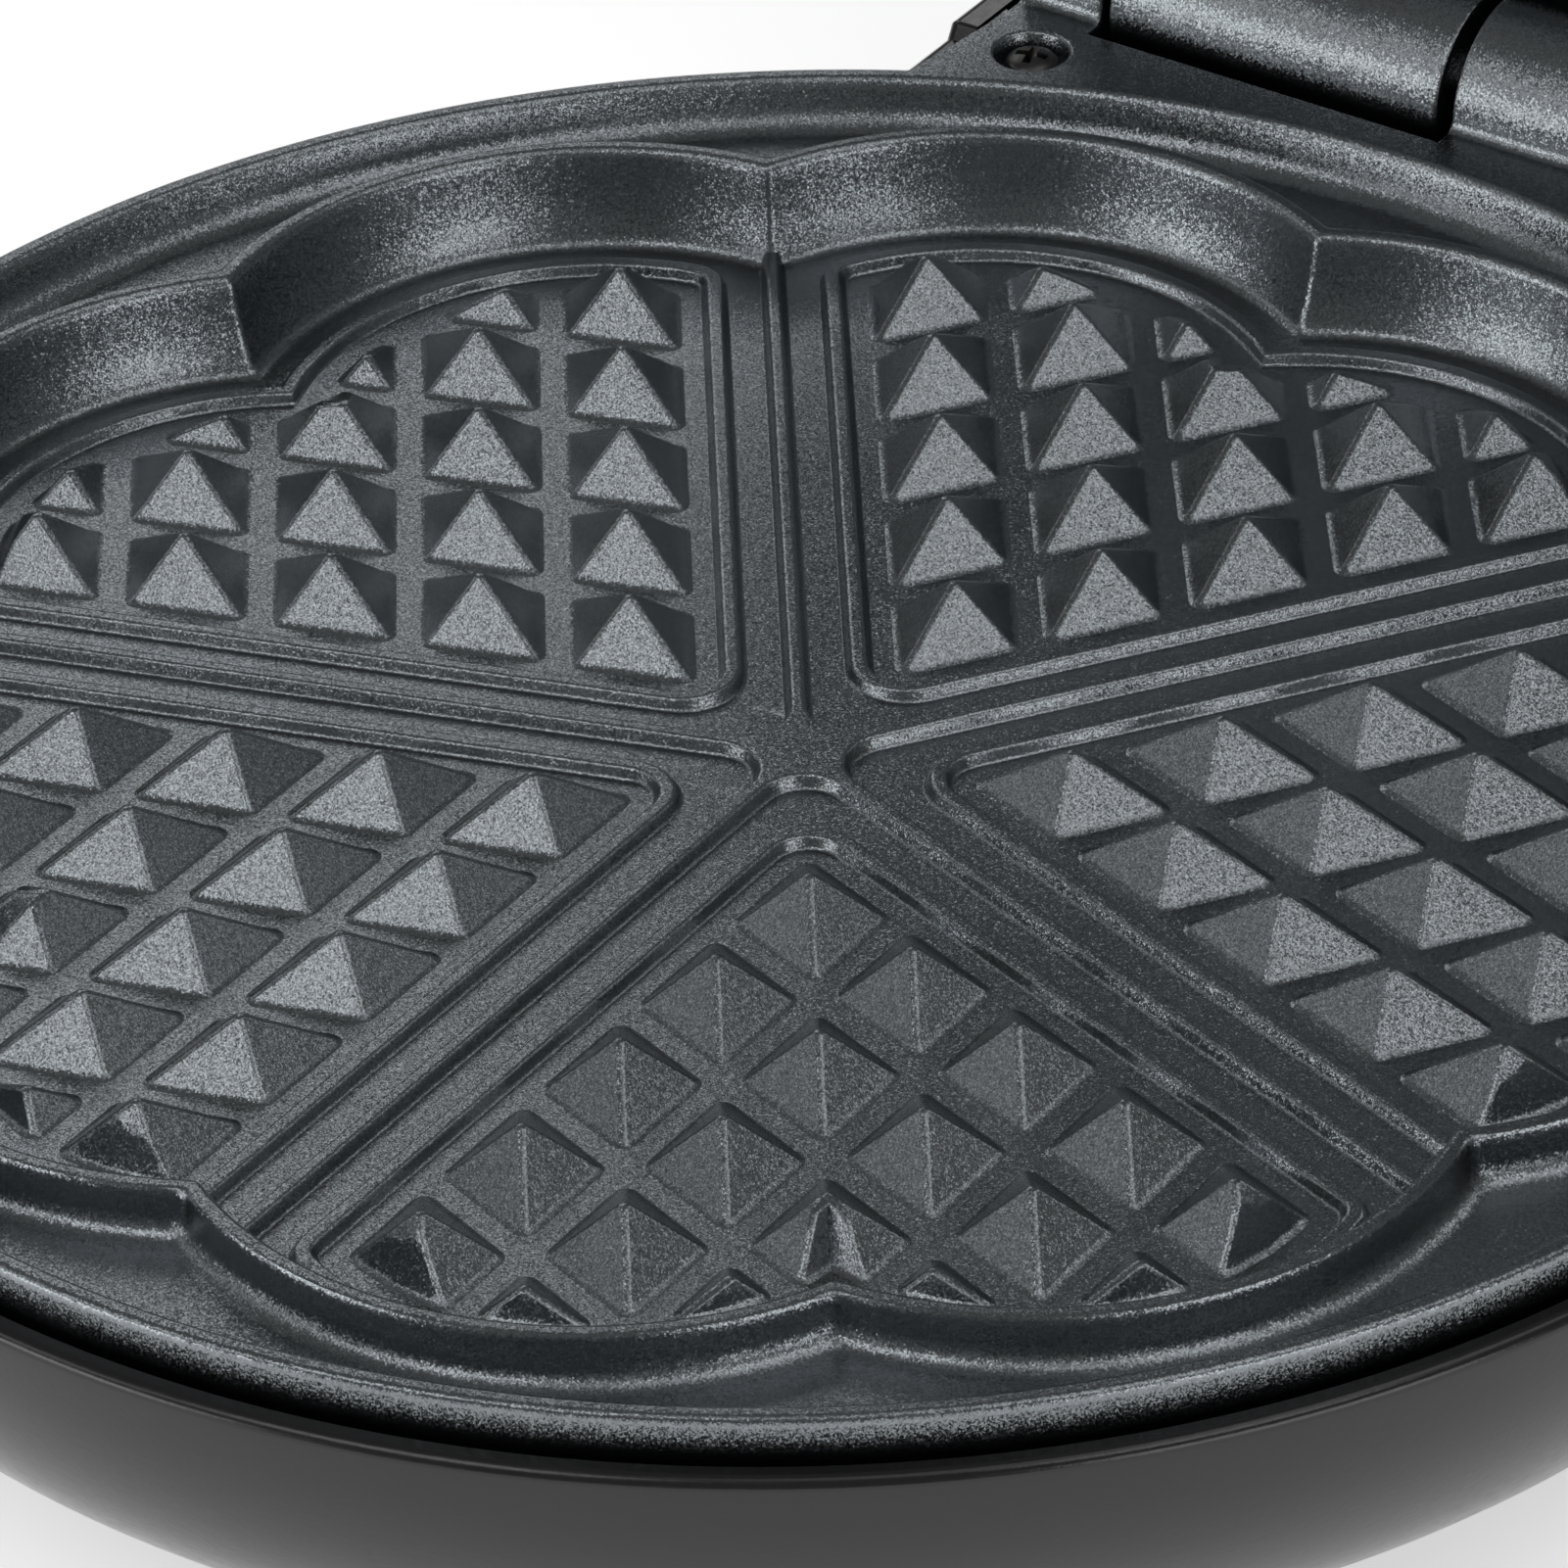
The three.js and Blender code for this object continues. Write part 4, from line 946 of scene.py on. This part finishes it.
def fluted_ring(radius, z, fluted):
    """A circle with hollows round it, as deep as the part fluted says."""
    count = FLUTES * POINTS_PER_FLUTE
    loop = []
    for i in range(count):
        hollow = (0.5 + 0.5 * math.cos(2 * math.pi * i * FLUTES / count)) ** 2
        loop.append((radius - FLUTE_DEPTH * fluted * hollow) * unit(2 * math.pi * i / count))
    return at_height(np.array(loop), KNOB_SEAT + z)


def browning_knob():
    """Fluted skirt with a raised grip; its marker line is a separate inlay."""
    profile = [(13.2, 0.0, 0.0), (13.75, -0.15, 0.0), (13.95, -0.6, 0.0), (13.95, -1.6, 0.0),
               (13.6, -2.0, 1.0), (12.6, -9.4, 1.0), (12.35, -10.1, 0.6), (11.9, -10.6, 0.0),
               (11.2, -10.9, 0.0), (10.4, -11.0, 0.0)]
    body = stacked([fluted_ring(*level) for level in reversed(profile)])
    end = KNOB_R - GRIP_SHORT_OF_EDGE
    grip = np.array(arc(np.array([0, end - GRIP_HALF]), GRIP_HALF, 0, math.pi, 10)
                    + arc(np.array([0, GRIP_HALF - end]), GRIP_HALF, math.pi, 2 * math.pi, 10))
    levels = [(-14.5, 1.3), (-14.35, 0.75), (-13.95, 0.3), (-13.3, 0.05), (-12.6, 0.0), (-11.6, -0.05),
              (-11.2, -0.3), (-10.9, -0.8), (-10.0, -0.8)]
    grip = pillowed(grip, [(KNOB_SEAT + z, d) for z, d in levels])
    bore = bar(3.2, KNOB_SEAT - 9.2, KNOB_SEAT + 1, 32)
    groove = block((-0.55, -end - 1, KNOB_SEAT - 16), (0.55, -end + 7, KNOB_SEAT - 14.1))
    return cut(joined(body, grip), bore, groove)


def knob_marker():
    return block((-0.5, -KNOB_R + 2.6, KNOB_SEAT - 14.3), (0.5, -KNOB_R + 8.2, KNOB_SEAT - 14.0), 0.06)


def lid_surface(x, y):
    """Height of the lid's domed top at a place."""
    return BOTTOM - DOME_RISE + DOME_RISE * (x * x + y * y) / SHELL_FLAT_R ** 2


SCALE_BARS, SCALE_STEP, SCALE_R = 7, 45, 17.2
SHORTEST_BAR, BAR_GROWTH = 1.4, 0.45


def browning_scale():
    """Raised bars on the lid round the knob, each longer than the one before."""
    bars = []
    for i in range(SCALE_BARS):
        angle = math.radians(SCALE_STEP * (i + 1))
        length = SHORTEST_BAR + BAR_GROWTH * i
        middle = SCALE_R + length / 2
        x, y = CONTROL[0] + middle * math.sin(angle), CONTROL[1] - middle * math.cos(angle)
        mark = block((-0.55, -length / 2, -0.28), (0.55, length / 2, 0.5), 0.12)
        bars.append(moved(mark, (x, y, lid_surface(x, y)), (math.degrees(angle), "Z")))
    return gathered(bars)


def lamp_lens(x):
    seat = BOTTOM - 2.3
    profile = [(0.4, -1.85), (1.2, -1.75), (2.2, -1.5), (3.1, -1.1), (3.9, -0.6), (4.4, -0.15), (4.6, 0.15),
               (4.6, 0.4), (3.2, 0.4), (3.2, 7)]
    return moved(turned([(r, seat + z) for r, z in profile], 48), (x, LAMP_Y, 0))


# ---- handle --------------------------------------------------------------------------------

HANDLE_SPLIT = -14.0
HANDLE_GAP = 0.4                  # between the handle and the lid's bowl
HANDLE_SCREWS = [(0, -112), (0, -138)]


def curve(p0, p1, p2, p3, steps=22):
    points = []
    for t in np.linspace(0, 1, steps + 1)[:-1]:
        u = 1 - t
        points.append(u ** 3 * np.array(p0) + 3 * u * u * t * np.array(p1) + 3 * u * t * t * np.array(p2)
                      + t ** 3 * np.array(p3))
    return points


def handle_loop():
    return np.array(
        curve((-30, -84), (-28, -112), (-21, -108), (-21, -132))
        + arc(np.array([0, -132]), 21, math.pi, 2 * math.pi, 36)[:-1]
        + curve((21, -132), (21, -108), (28, -112), (30, -84))
        + [np.array([30, -84])]
    )


def handle_shell(levels):
    """Half of the handle, with the bowl's shape cut out of its root."""
    profile = [(60, -60)] + bowl_side(-HANDLE_GAP) + [(SHELL_R + HANDLE_GAP, ABOVE_ALL)]
    clear = turned(profile, ROUND_COUNT)
    return cut(pillowed(handle_loop(), levels), clear)


def handle_top():
    levels = [(-24, 9.5), (-23.9, 7), (-23.6, 5), (-22.9, 3), (-21.9, 1.5), (-20.6, 0.55), (-19.2, 0.1),
              (-18, 0), (-14.75, 0), (-14.42, 0.1), (-14.3, 0.4)]
    holes = [bar(1.6, HANDLE_SPLIT - 7, HANDLE_SPLIT + 1, 20, spot) for spot in HANDLE_SCREWS]
    return cut(handle_shell(levels), *holes)


def handle_bottom():
    levels = [(-14, 0.4), (-13.88, 0.1), (-13.55, 0), (-11.6, 0.05), (-9.8, 0.5), (-8.2, 1.4), (-7.1, 2.7),
              (-6.35, 4.3), (-6, 6.4)]
    holes = []
    for spot in HANDLE_SCREWS:
        holes += [bar(1.9, HANDLE_SPLIT - 1, -5, 20, spot), bar(3.6, -9, -5, 32, spot)]
    return cut(handle_shell(levels), *holes)


# ---- placing -------------------------------------------------------------------------------


def build_base():
    finished(lower_shell(), "lower_bowl", BASE, "base", HOUSING, ["lower_housing"], 20)
    finished(base_cover(), "bottom_cover", BASE, "base", HOUSING, ["base_cover"])
    for corner, (x, y) in FEET.items():
        finished(moved(foot(), (x, y, 0)), f"rubber_foot_{corner}", BASE, "base", RUBBER,
                 [f"foot_{corner}"])
    for i, angle in enumerate(COVER_SCREW_ANGLES):
        x, y = COVER_SCREW_R * unit(angle)
        obj = moved(screw(3, 1.4, 8), (x, y, BOTTOM - 4.0), (180, "X"))
        finished(obj, f"cover_screw_{i + 1}", BASE, "base", BRIGHT_STEEL,
                 [f"base_screw_{i + 1}"])
    finished(cord_gland(), "cord_bushing", BASE, "base", RUBBER, ["cord_gland"])
    finished(hinge_pin(), "steel_hinge_pin", BASE, "base", BRIGHT_STEEL, ["hinge_pin"])


def build_lid():
    finished(upper_shell(), "upper_bowl", LID, "lid", HOUSING, ["upper_housing"], 20)
    finished(handle_top(), "handle_upper_shell", LID, "lid", GRIP, ["handle_top"])
    finished(handle_bottom(), "handle_lower_shell", LID, "lid", GRIP, ["handle_bottom"])
    for i, (x, y) in enumerate(HANDLE_SCREWS):
        obj = moved(screw(3, 1.4, 11), (x, y, HANDLE_SPLIT + 8 - 1.1))
        finished(obj, f"grip_screw_{i + 1}", LID, "lid", BRIGHT_STEEL,
                 [f"handle_screw_{i + 1}"])
    finished(moved(browning_knob(), (*CONTROL, 0)), "control_knob", LID, "knob", GRIP,
             ["browning_knob"])
    finished(moved(knob_marker(), (*CONTROL, 0)), "knob_marker", LID, "knob", MARKS)
    finished(browning_scale(), "browning_scale", LID, "lid", MARKS)
    finished(lamp_lens(LAMP_X), "power_lamp_lens", LID, "lid", RED, ["power_lens"])
    finished(lamp_lens(-LAMP_X), "ready_lamp_lens", LID, "lid", GREEN, ["ready_lens"])


def build_plate_screws():
    for prefix, matrix, body in (("lower", BASE, "base"), ("upper", LID, "lid")):
        for side, x in (("left", -PLATE_SCREW[0]), ("right", PLATE_SCREW[0])):
            seat = (x, PLATE_SCREW[1], RIM_TOP - 0.2)
            obj = moved(screw(2.5, 1.7, 17), seat, (12 if side == "left" else -31, "Z"))
            finished(obj, f"{prefix}_casting_screw_{side}", matrix, body, BLACK_STEEL,
                     [f"{prefix}_plate_screw_{side}"])


def finish_cad_nodes():
    """Inner parts keep their CAD shape and get their own materials."""
    looks = {
        "lower_heating_element": ELEMENT, "upper_heating_element": ELEMENT,
        "lower_heat_shield": SHIELD, "upper_heat_shield": SHIELD,
        "lower_thermal_fuse": CERAMIC, "upper_thermal_fuse": CERAMIC,
        "lower_shield_screw_1": BRIGHT_STEEL, "lower_shield_screw_2": BRIGHT_STEEL,
        "upper_shield_screw_1": BRIGHT_STEEL, "upper_shield_screw_2": BRIGHT_STEEL,
        "terminal_block": CERAMIC, "lower_lead_live": SLEEVE, "lower_lead_neutral": SLEEVE,
        "hinge_pin_ring": BLACK_STEEL, "control_thermostat": CERAMIC, "lamp_holder": CERAMIC,
    }
    for node, material in looks.items():
        obj = frame["nodes"][node]
        obj.data.materials.clear()
        obj.data.materials.append(material)


build_base()
build_lid()
build_plate_screws()
finish_cad_nodes()

# ---- floor and light -----------------------------------------------------------------------

FLOOR_HALF = 30.0
PAPER_GLOW, WORLD_STRENGTH = 0.55, 0.18
WHITE = (1, 1, 1, 1)


def add_floor():
    corners = [(x * FLOOR_HALF, y * FLOOR_HALF, 0) for x, y in ((-1, -1), (1, -1), (1, 1), (-1, 1))]
    mesh = bpy.data.meshes.new("floor")
    mesh.from_pydata(corners, [], [(0, 1, 2, 3)])
    floor = bpy.data.objects.new("floor", mesh)
    bpy.context.scene.collection.objects.link(floor)
    n = Nodes("floor_paper", Emission_Color=WHITE, Emission_Strength=PAPER_GLOW)
    paper = n.noise(40, 4)
    mesh.materials.append(n.set(Base_Color=n.blend(paper, grey(0.93), grey(0.97)),
                                Roughness=n.ramp(paper, 0.6, 0.8)))


# name: (azimuth, elevation, width, height, watts), in degrees and metres, seen from the plate.
LIGHTS = {
    "front_left_low": (328, 9, 0.7, 0.3, 2.1),
    "front_right_low": (72, 11, 0.6, 0.35, 1.6),
    "left": (280, 30, 0.4, 0.35, 0.28),
    "front_left": (322, 36, 0.35, 0.3, 0.36),
    "front_high": (352, 52, 0.45, 0.35, 1.1),
    "front_right_high": (75, 52, 0.4, 0.3, 0.7),
    "overhead": (65, 72, 0.5, 0.4, 0.4),
    "right_high": (120, 62, 0.4, 0.4, 0.45),
    "back": (202, 31, 0.4, 0.26, 0.6),
    "back_left": (236, 32, 0.4, 0.3, 0.55),
    "back_right": (154, 33, 0.4, 0.3, 0.5),
}
LIGHT_DISTANCE = 1.0


def softbox(name, azimuth, elevation, width, height, watts):
    """An area light aimed at the plate."""
    back = direction(math.radians(azimuth), math.radians(elevation))
    data = bpy.data.lights.new(name, "AREA")
    data.shape = "RECTANGLE"
    data.size, data.size_y = width, height
    data.energy = watts
    light = bpy.data.objects.new(name, data)
    bpy.context.scene.collection.objects.link(light)
    light.visible_camera = False
    light.rotation_mode = "QUATERNION"
    light.location = plate_centre + back * LIGHT_DISTANCE
    light.rotation_quaternion = back.to_track_quat("Z", "Y")


def add_world():
    world = bpy.data.worlds.new("world")
    world.use_nodes = True
    background = world.node_tree.nodes["Background"]
    background.inputs["Color"].default_value = WHITE
    background.inputs["Strength"].default_value = WORLD_STRENGTH
    bpy.context.scene.world = world


add_floor()
add_world()
for light_name, values in LIGHTS.items():
    softbox(light_name, *values)
bpy.context.scene.view_settings.view_transform = "Standard"
